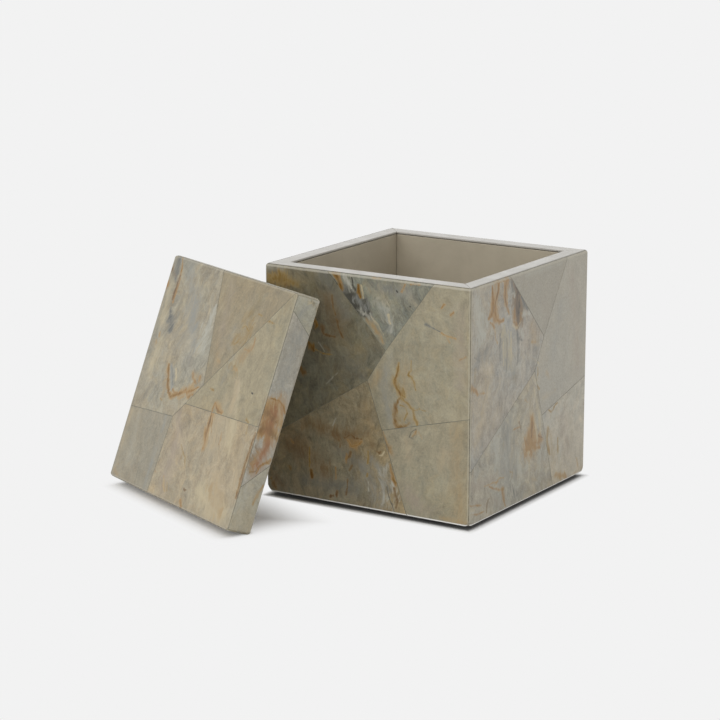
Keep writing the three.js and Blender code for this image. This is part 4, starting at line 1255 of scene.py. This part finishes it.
stains["lid_tile_lower_right"] = [
    ("wash", "pink", 0.43, (0.4, 0.36, 0.11), (0.45, 0.22, 0.176), (0.44, 0.05, 0.154)),
    ("wash", "peach", 0.58, (0.72, 0.4, 0.132), (0.72, 0.3, 0.132)),
    ("wash", "cream", 0.58, (0.82, 0.44, 0.066), (0.84, 0.34, 0.088), (0.85, 0.3, 0.055)),
    ("wash", "tan", 0.43, (0.82, 0.16, 0.11), (0.9, 0.1, 0.154)),
    ("wash", "peach", 0.58, (0.78, 0.08, 0.132), (0.9, 0.03, 0.132)),
    ("wash", "peach", 0.43, (0.92, 0.38, 0.088), (0.95, 0.18, 0.11)),
    ("fleck", "cream", 0.33, (0.72, 0.1, 0.1), (0.8, 0.04, 0.1)),
    ("stain", "tan", 0.72, (0.655, 0.42, 0.052), (0.655, 0.34, 0.078), (0.66, 0.27, 0.039)),
    ("wash", "cream", 0.72, (0.8, 0.42, 0.12), (0.83, 0.33, 0.12)),
    ("wash", "cream", 0.72, (0.78, 0.12, 0.14), (0.93, 0.05, 0.16)),
    ("fleck", "tan", 0.7, (0.8, 0.14, 0.08), (0.9, 0.06, 0.08)),
    ("drip", "rust", 1.0, (0.641, 0.43, 0.017), (0.646, 0.385, 0.031), (0.65, 0.34, 0.053),
     (0.655, 0.3, 0.031), (0.654, 0.265, 0.014)),
    ("drip", "brown", 0.62, (0.645, 0.41, 0.011), (0.648, 0.36, 0.022), (0.652, 0.32, 0.02)),
    ("vein", "rust", 0.72, (0.655, 0.42, 0.01), (0.667, 0.38, 0.016), (0.682, 0.345, 0.01)),
    ("vein", "rust", 0.63, (0.756, 0.365, 0.013), (0.76, 0.335, 0.026), (0.763, 0.31, 0.013)),
    ("vein", "cream", 0.63, (0.668, 0.36, 0.013), (0.676, 0.33, 0.018)),
    ("vein", "gold", 0.54, (0.49, 0.245, 0.013), (0.52, 0.22, 0.018), (0.545, 0.205, 0.016),
     (0.565, 0.17, 0.013)),
    ("vein", "gold", 0.45, (0.52, 0.215, 0.018), (0.515, 0.19, 0.018)),
    ("drip", "tan", 0.68, (0.43, 0.095, 0.014), (0.445, 0.06, 0.034), (0.47, 0.04, 0.025)),
    ("vein", "cream", 0.63, (0.435, 0.085, 0.008), (0.452, 0.055, 0.01), (0.465, 0.035, 0.008)),
    ("vein", "gold", 0.45, (0.465, 0.08, 0.013), (0.485, 0.045, 0.016)),
    ("drip", "brown", 1.0, (0.607, 0.083, 0.014), (0.615, 0.08, 0.02), (0.625, 0.083, 0.008)),
    ("stain", "rust", 1.0, (0.612, 0.025, 0.033), (0.62, 0.01, 0.03)),
    ("vein", "gold", 0.63, (0.862, 0.078, 0.018), (0.872, 0.068, 0.023)),
    ("vein", "gold", 0.63, (0.925, 0.42, 0.018), (0.93, 0.4, 0.021)),
    ("vein", "cream", 0.63, (0.905, 0.115, 0.01), (0.935, 0.085, 0.013)),
    ("vein", "rust", 0.63, (0.35, 0.1, 0.01), (0.362, 0.1, 0.01)),
    ("drip", "ochre", 1.0, (0.993, 0.41, 0.012), (0.991, 0.32, 0.03), (0.989, 0.22, 0.04),
     (0.991, 0.14, 0.016)),
    ("wash", "cream", 0.5, (0.72, 0.1, 0.12), (0.9, 0.04, 0.14)),
    ("wash", "peach", 0.5, (0.8, 0.2, 0.1), (0.86, 0.08, 0.12)),
]
stains["lid_tile_lower_left"] = [
    ("wash", "blue", 0.36, (0.31, 0.34, 0.055), (0.31, 0.2, 0.055), (0.3, 0.02, 0.055)),
    ("wash", "pale", 0.18, (0.1, 0.28, 0.132), (0.12, 0.1, 0.132)),
    ("wash", "peach", 0.36, (0.03, 0.3, 0.044), (0.035, 0.05, 0.055)),
    ("wash", "shade", 0.24, (0.26, 0.25, 0.033), (0.285, 0.24, 0.022)),
    ("vein", "shade", 0.45, (0.215, 0.1, 0.01), (0.22, 0.05, 0.013), (0.222, 0.01, 0.01)),
    ("wash", "tan", 0.42, (0.03, 0.03, 0.044), (0.07, 0.015, 0.033)),
    ("vein", "rust", 0.45, (0.045, 0.06, 0.013), (0.052, 0.055, 0.013)),
]
print("stains so far:", sum(len(found) for found in stains.values()))

# %% [markdown]
# The narrow edge carries the strongest stain, a red-brown patch with a curl below it, as a slab
# shows where it was cut across a band of iron.

# %% List the stains of the lid's right edge
stains["lid_right_edge_tile_a"] = [
    ("vein", "tan", 0.72, (0.13, 0.035, 0.018), (0.17, 0.025, 0.026), (0.215, 0.01, 0.018)),
    ("wash", "pale", 0.24, (0.05, 0.08, 0.055), (0.2, 0.09, 0.055)),
]
stains["lid_right_edge_tile_b"] = [
    ("wash", "blue", 0.42, (0.62, 0.06, 0.132), (0.85, 0.05, 0.132)),
    ("wash", "tan", 0.48, (0.24, 0.07, 0.099), (0.4, 0.05, 0.132), (0.5, 0.06, 0.154)),
    ("wash", "pink", 0.8, (0.25, 0.06, 0.12), (0.55, 0.06, 0.14)),
    ("stain", "rust", 0.95, (0.435, 0.12, 0.078), (0.44, 0.06, 0.117), (0.42, 0.01, 0.052)),
    ("stain", "rust", 0.95, (0.52, 0.12, 0.117), (0.51, 0.07, 0.13), (0.47, 0.02, 0.052)),
    ("stain", "brown", 0.6, (0.45, 0.11, 0.026), (0.435, 0.06, 0.065), (0.415, 0.02, 0.026)),
    ("stain", "brown", 0.6, (0.51, 0.115, 0.039), (0.5, 0.07, 0.052), (0.48, 0.03, 0.026)),
    ("fleck", "brown", 0.35, (0.27, 0.1, 0.05), (0.35, 0.09, 0.05)),
    ("fleck", "cream", 0.7, (0.54, 0.08, 0.06), (0.5, 0.04, 0.06)),
    ("wash", "rust", 0.9, (0.4, 0.06, 0.12), (0.55, 0.06, 0.13)),
    ("stain", "rust", 0.9, (0.42, 0.09, 0.104), (0.47, 0.05, 0.117), (0.53, 0.06, 0.104)),
    ("drip", "rust", 0.76, (0.56, 0.1, 0.014), (0.562, 0.06, 0.02), (0.545, 0.03, 0.02),
     (0.52, 0.01, 0.014)),
    ("drip", "tan", 0.66, (0.54, 0.09, 0.014), (0.543, 0.06, 0.017), (0.525, 0.03, 0.014)),
    ("fleck", "cream", 0.5, (0.42, 0.015, 0.02), (0.46, 0.012, 0.024)),
    ("stain", "rust", 0.85, (0.475, 0.025, 0.03), (0.46, 0.01, 0.021), (0.41, 0.012, 0.021)),
    ("vein", "brown", 0.4, (0.3, 0.1, 0.026), (0.33, 0.08, 0.016), (0.35, 0.085, 0.013)),
    ("vein", "brown", 0.72, (0.255, 0.095, 0.016), (0.26, 0.07, 0.016), (0.29, 0.055, 0.013)),
    ("drip", "rust", 0.81, (0.255, 0.065, 0.014), (0.29, 0.05, 0.02), (0.305, 0.03, 0.028),
     (0.32, 0.01, 0.025)),
    ("wash", "pink", 0.36, (0.38, 0.05, 0.055), (0.36, 0.03, 0.044)),
    ("wash", "tan", 0.6, (0.26, 0.09, 0.06), (0.34, 0.08, 0.07)),
    ("wash", "clay", 0.6, (0.29, 0.07, 0.077), (0.38, 0.05, 0.088)),
    ("wash", "clay", 0.7, (0.43, 0.07, 0.11), (0.51, 0.06, 0.12)),
    ("stain", "brown", 0.3, (0.425, 0.125, 0.05), (0.44, 0.08, 0.05), (0.41, 0.02, 0.03)),
    ("stain", "brown", 0.25, (0.5, 0.13, 0.05), (0.5, 0.08, 0.05), (0.47, 0.04, 0.03)),
    ("stain", "cream", 0.26, (0.545, 0.05, 0.02), (0.46, 0.02, 0.03)),
]
stains["lid_right_edge_tile_c"] = [
    ("fleck", "cream", 0.5, (0.985, 0.05, 0.03), (0.96, 0.012, 0.03)),
    ("fleck", "shade", 0.33, (0.985, 0.04, 0.02), (0.96, 0.01, 0.02)),
    ("wash", "blue", 0.24, (0.9, 0.09, 0.055), (0.95, 0.06, 0.066)),
]
print("stains in all:", sum(len(found) for found in stains.values()))

# %% [markdown]
# ## Faces that nothing shows
#
# The back, the left side and three of the lid's edges are cut from the same stone. Their tones
# are picked from the tiles that are known, and stains of every kind are strewn over each with
# a fixed seed, so the stone looks the same on every run.

# %% Strew stains over the other tiles
strewn_tints = {
    "wash": ["blue", "peach", "pink", "tan", "pale"],
    "stain": ["rust", "slate", "brown"],
    "drip": ["rust", "cream", "blue", "rust", "gold"],
    "vein": ["rust", "gold", "brown", "pale"],
    "fleck": ["pale", "cream"],
}
strewn_widths = {"wash": 0.6, "stain": 0.25, "drip": 0.14, "vein": 0.09, "fleck": 0.5}
strewn_kinds = ["wash", "wash", "wash", "fleck", "stain", "drip", "vein", "drip", "vein",
                "stain", "drip", "vein", "vein"]
strand_tapers = (0.4, 1.0, 1.0, 0.4)
step_range, strength_range = (0.03, 0.08), (0.5, 0.9)
lean_range, lean_wander = (65, 110), 0.5
strewn_seed = 11
# the kinds, the spread, the shorter step and the turn that suit a broad and a narrow tile
broad_tile = (strewn_kinds, (0.17, 0.17), 1.0, 0)
narrow_tile = (strewn_kinds[:7], (0.12, 0.03), 0.5, 80)


def tile_middle(name):
    """The middle of a CAD tile on its face's map."""
    face_name = face_of(name)
    across, up = map_size(face_name)
    low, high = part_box(name)
    place = face_frames[face_name].inverted() @ ((low + high) / 2)
    return place.x / across, place.y / up


def strewn_stains(name, dice):
    """A few stains of each kind round the middle of a tile, along the tile where it is narrow."""
    across, up = tile_middle(name)
    kinds, spread, shorter, turn = narrow_tile if "_edge_" in name else broad_tile
    found = []
    for kind in kinds:
        x = across + dice.uniform(-1, 1) * spread[0]
        y = up + dice.uniform(-1, 1) * spread[1]
        step = dice.uniform(*step_range) * shorter
        lean = math.radians(dice.uniform(*lean_range) - turn)
        places = []
        for taper in strand_tapers:
            places.append((x, y, 2 * strewn_widths[kind] * step * taper))
            lean += dice.uniform(-lean_wander, lean_wander)
            x += step * math.cos(lean)
            y += step * math.sin(lean)
        tint = dice.choice(strewn_tints[kind])
        found.append((kind, tint, dice.uniform(*strength_range), *places))
    return found


dice = random.Random(strewn_seed)
known_tones = list(tile_tones.values())
for name in tile_names:
    if name not in tile_tones:
        tile_tones[name] = dice.choice(known_tones)
        stains[name] = strewn_stains(name, dice)
print("tiles with stains:", len(stains))

# %% [markdown]
# ## Put the stone together
#
# A tile's material reads the face map, shifts it to a slice of its own for the noises, bends
# it a little so that no vein is straight, and hands it to the groups. The lacquer is a clear
# coat on the shader itself, with its even values set on the shader's own sockets.

# %% Lay the stains and draw the edges
# scale and amount of each bend
place_bends = ((14.0, 0.014), (45.0, 0.008))


def bent_place(tree, plain, sliced):
    """The face map bent by a coarse and a fine noise."""
    for scale, amount in place_bends:
        wander = noise(tree, sliced, scale, 3.0, 0.55)
        shift = vector_node(tree, "SUBTRACT", wander.outputs["Color"], (0.5, 0.5, 0.5))
        plain = vector_node(tree, "MULTIPLY_ADD", shift, (amount, amount, 0.0), plain)
    return plain


def stain_depth(tree, place, points):
    """How deep a place lies inside a chain of strands."""
    depth = None
    for (x0, y0, width0), (x1, y1, width1) in zip(points, points[1:]):
        strand = add_group(tree, strand_group, Place=place, From=(x0, y0, 0), To=(x1, y1, 0),
                           From_Width=width0, To_Width=width1)
        reached = strand.outputs["Depth"]
        depth = reached if depth is None else math_node(tree, "MAXIMUM", depth, reached)
    return depth


def lay_stain(tree, colour, place, flow, stain):
    """The colour with one stain of the lists laid over it."""
    kind, tint, strength, *points = stain
    softness, ragged, cells = stain_kinds[kind]
    halo, core = tints[tint]
    mean_width = sum(width for x, y, width in points) / len(points)
    node = add_group(tree, stain_group, Color=colour, Depth=stain_depth(tree, place, points),
                     Flow=flow, Fineness=cells / mean_width, Softness=softness, Ragged=ragged,
                     Halo=paint(halo), Core=paint(core), Strength=strength)
    return node.outputs["Color"]


# The sawn tint is a dark joint. The other two are painted highlights: a pale line along the arrises
# and a near-white line along the foot, where the rounded edges would catch the light.
edge_joint_and_highlight_tints = {"sawn": "4b4634", "arris_highlight": "b2ac9b", "foot": "f7f6f2"}


def edge_joints_and_highlights(face_name, x, y, left, below):
    """Lines near a face's edges: distance, tint, from, to, fray and strength."""
    # the pale lines along the arrises and the near-white line along the foot are painted highlights
    if face_name == "lid_tile":
        return [(gap, "arris_highlight", -1.0, 0.011, 0.012, 0.25) for gap in (x, y, left, below)]
    if face_name.endswith("edge_tile"):
        return [(below, "sawn", -1.0, 0.006, 0.006, 0.45), (left, "sawn", -1.0, 0.006, 0.006, 0.3),
                (x, "foot", -1.0, 0.005, 0.003, 0.8), (y, "arris_highlight", -1.0, 0.01, 0.01, 0.5)]
    return [(x, "arris_highlight", -1.0, 0.0085, 0.006, 0.5), (left, "arris_highlight", 0.006, 0.0115, 0.006, 0.4),
            (left, "sawn", -1.0, 0.0055, 0.004, 0.8), (below, "arris_highlight", 0.003, 0.0115, 0.01, 0.45),
            (below, "sawn", -1.0, 0.0028, 0.003, 0.6), (y, "foot", -1.0, 0.0088, 0.001, 1.0)]


def draw_edges(tree, colour, face_map, sliced, face_name):
    """The colour with the lines along the face's edges drawn over it."""
    high = lid_thickness / side if face_name.endswith("edge_tile") else 1.0
    parts = add_node(tree, "ShaderNodeSeparateXYZ", None, Vector=face_map)
    x, y = parts.outputs["X"], parts.outputs["Y"]
    left = math_node(tree, "SUBTRACT", 1.0, x)
    below = math_node(tree, "SUBTRACT", high, y)
    for gap, tint, start, end, fray, strength in edge_joints_and_highlights(face_name, x, y, left, below):
        line = add_group(tree, edge_group, Distance=gap, Place=sliced, From=start, To=end,
                         Fray=fray)
        share = math_node(tree, "MULTIPLY", line.outputs["Mask"], strength)
        # a pale or near-white line mixed in here is a painted highlight; a dark one is a joint
        colour = mix_colours(tree, share, colour, paint(edge_joint_and_highlight_tints[tint]))
    return colour


print("edge tints:", ", ".join(edge_joint_and_highlight_tints))

# %% [markdown]
# ## The stone on each tile
#
# Polished slate is hardly a mirror: its own gloss is low, and a thin lacquer over it gives the
# soft sheen. Every tile takes its own slice of the noises, so no two tiles share a cloud.

# %% Make a stone material for each tile
slice_step = 1.7
relief_strength, relief_depth = 0.25, 0.0004
stone_gloss = {"Specular_IOR_Level": 0.35, "Coat_Weight": 0.3, "Coat_Roughness": 0.12}


def start_material(name):
    """A new material: (itself, its node tree, its shader)."""
    material = bpy.data.materials.new(name)
    material.use_nodes = True
    shader = material.node_tree.nodes["Principled BSDF"]
    return material, material.node_tree, shader


def stone_material(name, slice_number):
    """One tile's stone: ground, stains, edge lines, polish and gloss."""
    material, tree, shader = start_material(f"stone_{name}")
    tone, clouds, wisps, feathers, grain_way = tile_tones[name]
    face_map = add_node(tree, "ShaderNodeUVMap", {"uv_map": map_name}).outputs["UV"]
    sliced = add_node(tree, "ShaderNodeMapping", None, Vector=face_map,
                      Location=(0, 0, slice_number * slice_step)).outputs[0]
    place = bent_place(tree, face_map, sliced)
    ground = add_group(tree, ground_group, Place=sliced, Grain_Angle=-math.radians(grain_way),
                       Tone=paint(tone), Clouds=clouds, Wisps=wisps, Feathers=feathers)
    colour = ground.outputs["Color"]
    for stain in stains[name]:
        colour = lay_stain(tree, colour, place, ground.outputs["Flow"], stain)
    colour = draw_edges(tree, colour, face_map, sliced, face_of(name))
    polish = add_group(tree, polish_group, Place=sliced, Wisp=ground.outputs["Wisp"])
    relief = add_node(tree, "ShaderNodeBump", None, Strength=relief_strength,
                      Distance=relief_depth, Height=polish.outputs["Height"])
    feed(tree, shader, Base_Color=colour, Roughness=polish.outputs["Roughness"],
         Normal=relief.outputs["Normal"], **stone_gloss)
    return material


for slice_number, name in enumerate(tile_names):
    tiles[name].data.materials.append(stone_material(name, slice_number))
print("stone materials:", len(tile_names))

# %% [markdown]
# ## Resin, lacquer and felt
#
# The carcass is lacquered taupe and the rim a paler grey. Both are sprayed, so they have the
# faint orange peel of sprayed lacquer and a little cloudiness. The resin is dark and uneven,
# and the felt is a matt mat of short fibres. All of them are mottled by the same helper, which
# mixes two colours by a cloudy noise.

# %% Make the plain finishes
mottle_range = (0.35, 0.65)
rough_range = (0.3, 0.7)
orange_peel = (700.0, 0.0002, 0.2)


def mottled(tree, place, scale, first, second):
    """Two colours mixed by a noise: (colour, the noise's value)."""
    uneven = noise(tree, place, scale, 4.0, 0.6, 0.3).outputs["Fac"]
    share = step_between(tree, uneven, *mottle_range)
    return mix_colours(tree, share, paint(first), paint(second)), uneven


def finish(name, colours, cloud_scale, roughness, bump_scale, bump_depth, bump_strength):
    """A sprayed or matted finish: two colours, a range of roughness and small bumps."""
    material, tree, shader = start_material(name)
    place = add_node(tree, "ShaderNodeTexCoord").outputs["Object"]
    colour, uneven = mottled(tree, place, cloud_scale, *colours)
    bumps = noise(tree, place, bump_scale, 3.0, 0.6)
    relief = add_node(tree, "ShaderNodeBump", None, Strength=bump_strength,
                      Distance=bump_depth, Height=bumps.outputs["Fac"])
    feed(tree, shader, Base_Color=colour, Normal=relief.outputs["Normal"],
         Roughness=step_between(tree, uneven, *rough_range, *roughness))
    return material


carcass_lacquer = finish("carcass_lacquer", ("bbb29f", "b2a996"), 45.0, (0.36, 0.48),
                         *orange_peel)
rim_lacquer = finish("rim_lacquer", ("bfbcb6", "b6b3ac"), 60.0, (0.28, 0.4), *orange_peel)
felt_finish = finish("felt_pad", ("262523", "35332f"), 260.0, (0.85, 1.0), 1800.0, 0.0004, 0.8)
resin_finish = finish("seam_resin", ("57564a", "787565"), 120.0, (0.3, 0.5), 900.0, 0.0001, 0.3)
for piece in resins.values():
    piece.data.materials.append(resin_finish)
board_finishes = {"carcass": carcass_lacquer, "rim": rim_lacquer, "felt": felt_finish}
for slot, piece in boards.values():
    piece.data.materials.append(board_finishes[slot])
print("plain finishes:", carcass_lacquer.name, rim_lacquer.name, felt_finish.name,
      resin_finish.name)

# %% [markdown]
# ## The studio
#
# The canister stands on a white table that runs out of sight. Under the body the table's
# colour is darkened as painted shade, because hardly any light gets into the low gap round the
# felt. Under the body and the lid, and a few millimetres out from the body, the table is plainly
# lit and takes its shadows. Beyond that it turns into the clean white of the backdrop, which
# only the camera sees.
# A narrow strip along the lid's lowest edge stays lit too, so the lid sits in a shadow there.

# %% Make the table
backdrop_tone = 0.888
table_size = 60.0
# places are metres out from a footprint, so a negative one is inside it
# the table's colour is darkened under the body as painted shade
painted_shade_border, painted_shade_tones = (-0.003, 0.001), (0.2, 0.9)
body_border, body_shares = (0.0, 0.0035), (0.01, 1.0)
lid_border = (-0.025, 0.008)
foot_border, foot_shares = (0.0, 0.007), (0.1, 1.0)
foot_reach_in, foot_half_depth = 0.006, 0.007
table_work = bmesh.new()
bmesh.ops.create_grid(table_work, x_segments=1, y_segments=1, size=table_size / 2)
table = new_object("studio_table", finished_mesh("studio_table", table_work))


def footprint_gap(tree, place, middle, turn, reach):
    """How far a place on the table is from a turned rectangle, negative inside it."""
    moved = vector_node(tree, "SUBTRACT", place, (*middle, 0.0))
    turned = add_node(tree, "ShaderNodeVectorRotate", {"rotation_type": "Z_AXIS"}, Vector=moved,
                      Angle=-turn).outputs[0]
    beyond = vector_node(tree, "SUBTRACT", vector_node(tree, "ABSOLUTE", turned), (*reach, 1.0))
    outside = vector_node(tree, "LENGTH", vector_node(tree, "MAXIMUM", beyond, (0.0, 0.0, 0.0)))
    parts = add_node(tree, "ShaderNodeSeparateXYZ", None, Vector=beyond)
    inside = math_node(tree, "MAXIMUM", parts.outputs["X"], parts.outputs["Y"])
    return math_node(tree, "ADD", outside, math_node(tree, "MINIMUM", inside, 0.0))


def mix_shaders(tree, share, plain, other, output_name):
    """Two shaders mixed by a share, as a tree's surface."""
    both = add_node(tree, "ShaderNodeMixShader", None, Fac=share, _1=plain.outputs[0],
                    _2=other.outputs[0])
    feed(tree, tree.nodes[output_name], Surface=both.outputs[0])


table_finish, tree, shader = start_material("studio_table")
place = add_node(tree, "ShaderNodeTexCoord").outputs["Object"]
lid_corners = [lid_frame @ Vector((x, y, z)) for x in (-half, half) for y in (-half, half)
               for z in (0, lid_thickness)]
lid_plan_turn = math.atan2(lid_across.y, lid_across.x)
plan_back = Vector((-math.sin(lid_plan_turn), math.cos(lid_plan_turn), 0))
backs = [corner.dot(plan_back) for corner in lid_corners]
lid_plan_middle = (sum(lid_corners, Vector()) / len(lid_corners)).dot(lid_across) * lid_across
lid_plan_middle += (min(backs) + max(backs)) / 2 * plan_back
foot_shift = min(backs) + foot_half_depth - lid_plan_middle.dot(plan_back)
lid_foot_middle = (lid_plan_middle + foot_shift * plan_back)[:2]
under_body = footprint_gap(tree, place, (0, 0), 0.0, (half, half))
under_lid = footprint_gap(tree, place, lid_plan_middle[:2], lid_plan_turn,
                          (half, (max(backs) - min(backs)) / 2))
# painted shade: the table's base colour is darker under the body
table_tone_with_painted_shade = step_between(tree, under_body, *painted_shade_border, *painted_shade_tones)
feed(tree, shader, Base_Color=table_tone_with_painted_shade, Roughness=1.0, Specular_IOR_Level=0.0)
clear = math_node(tree, "MINIMUM", step_between(tree, under_body, *body_border, *body_shares),
                  step_between(tree, under_lid, *lid_border))
lid_foot = footprint_gap(tree, place, lid_foot_middle, lid_plan_turn,
                         (half - foot_reach_in, foot_half_depth))
clear = math_node(tree, "MINIMUM", clear,
                  step_between(tree, lid_foot, *foot_border, *foot_shares))
rays = add_node(tree, "ShaderNodeLightPath")
backdrop = (backdrop_tone, backdrop_tone, backdrop_tone, 1.0)
lifted = add_node(tree, "ShaderNodeEmission", None, Color=backdrop, Strength=1.0)
share = math_node(tree, "MULTIPLY", rays.outputs["Is Camera Ray"], clear)
mix_shaders(tree, share, shader, lifted, "Material Output")
table.data.materials.append(table_finish)
print("the lid covers", [round(x, 3) for x in lid_plan_middle],
      "turned", round(math.degrees(lid_plan_turn), 1))

# %% [markdown]
# ## The light
#
# An even white sky gives soft light from all sides, as a big light tent does, and one wide lamp
# adds a little direction. It is a sun lamp with a broad angle, so it lights the whole table
# alike. The camera and the gloss see the backdrop's white instead of the sky's.

# %% Set the light
sky_strength = 0.72
lamp_strength = 1.1
lamp_spread = math.radians(70)
lamp_from = Vector((-0.25, -0.75, 1.0)).normalized()

world = bpy.data.worlds.new("studio_sky")
world.use_nodes = True
bpy.context.scene.world = world
tree = world.node_tree
sky = tree.nodes["Background"]
feed(tree, sky, Color=(1.0, 1.0, 1.0, 1.0), Strength=sky_strength)
seen = add_node(tree, "ShaderNodeBackground", None, Color=backdrop, Strength=1.0)
rays = add_node(tree, "ShaderNodeLightPath")
direct = math_node(tree, "MAXIMUM", rays.outputs["Is Camera Ray"], rays.outputs["Is Glossy Ray"])
direct = math_node(tree, "MAXIMUM", direct, rays.outputs["Is Transmission Ray"])
mix_shaders(tree, direct, sky, seen, "World Output")

lamp_data = bpy.data.lights.new("wide_lamp", "SUN")
lamp_data.energy = lamp_strength
lamp_data.angle = lamp_spread
aim(new_object("wide_lamp", lamp_data), -lamp_from)
bpy.context.scene.view_settings.view_transform = "Standard"
print("lamp shines from", [round(x, 2) for x in lamp_from])
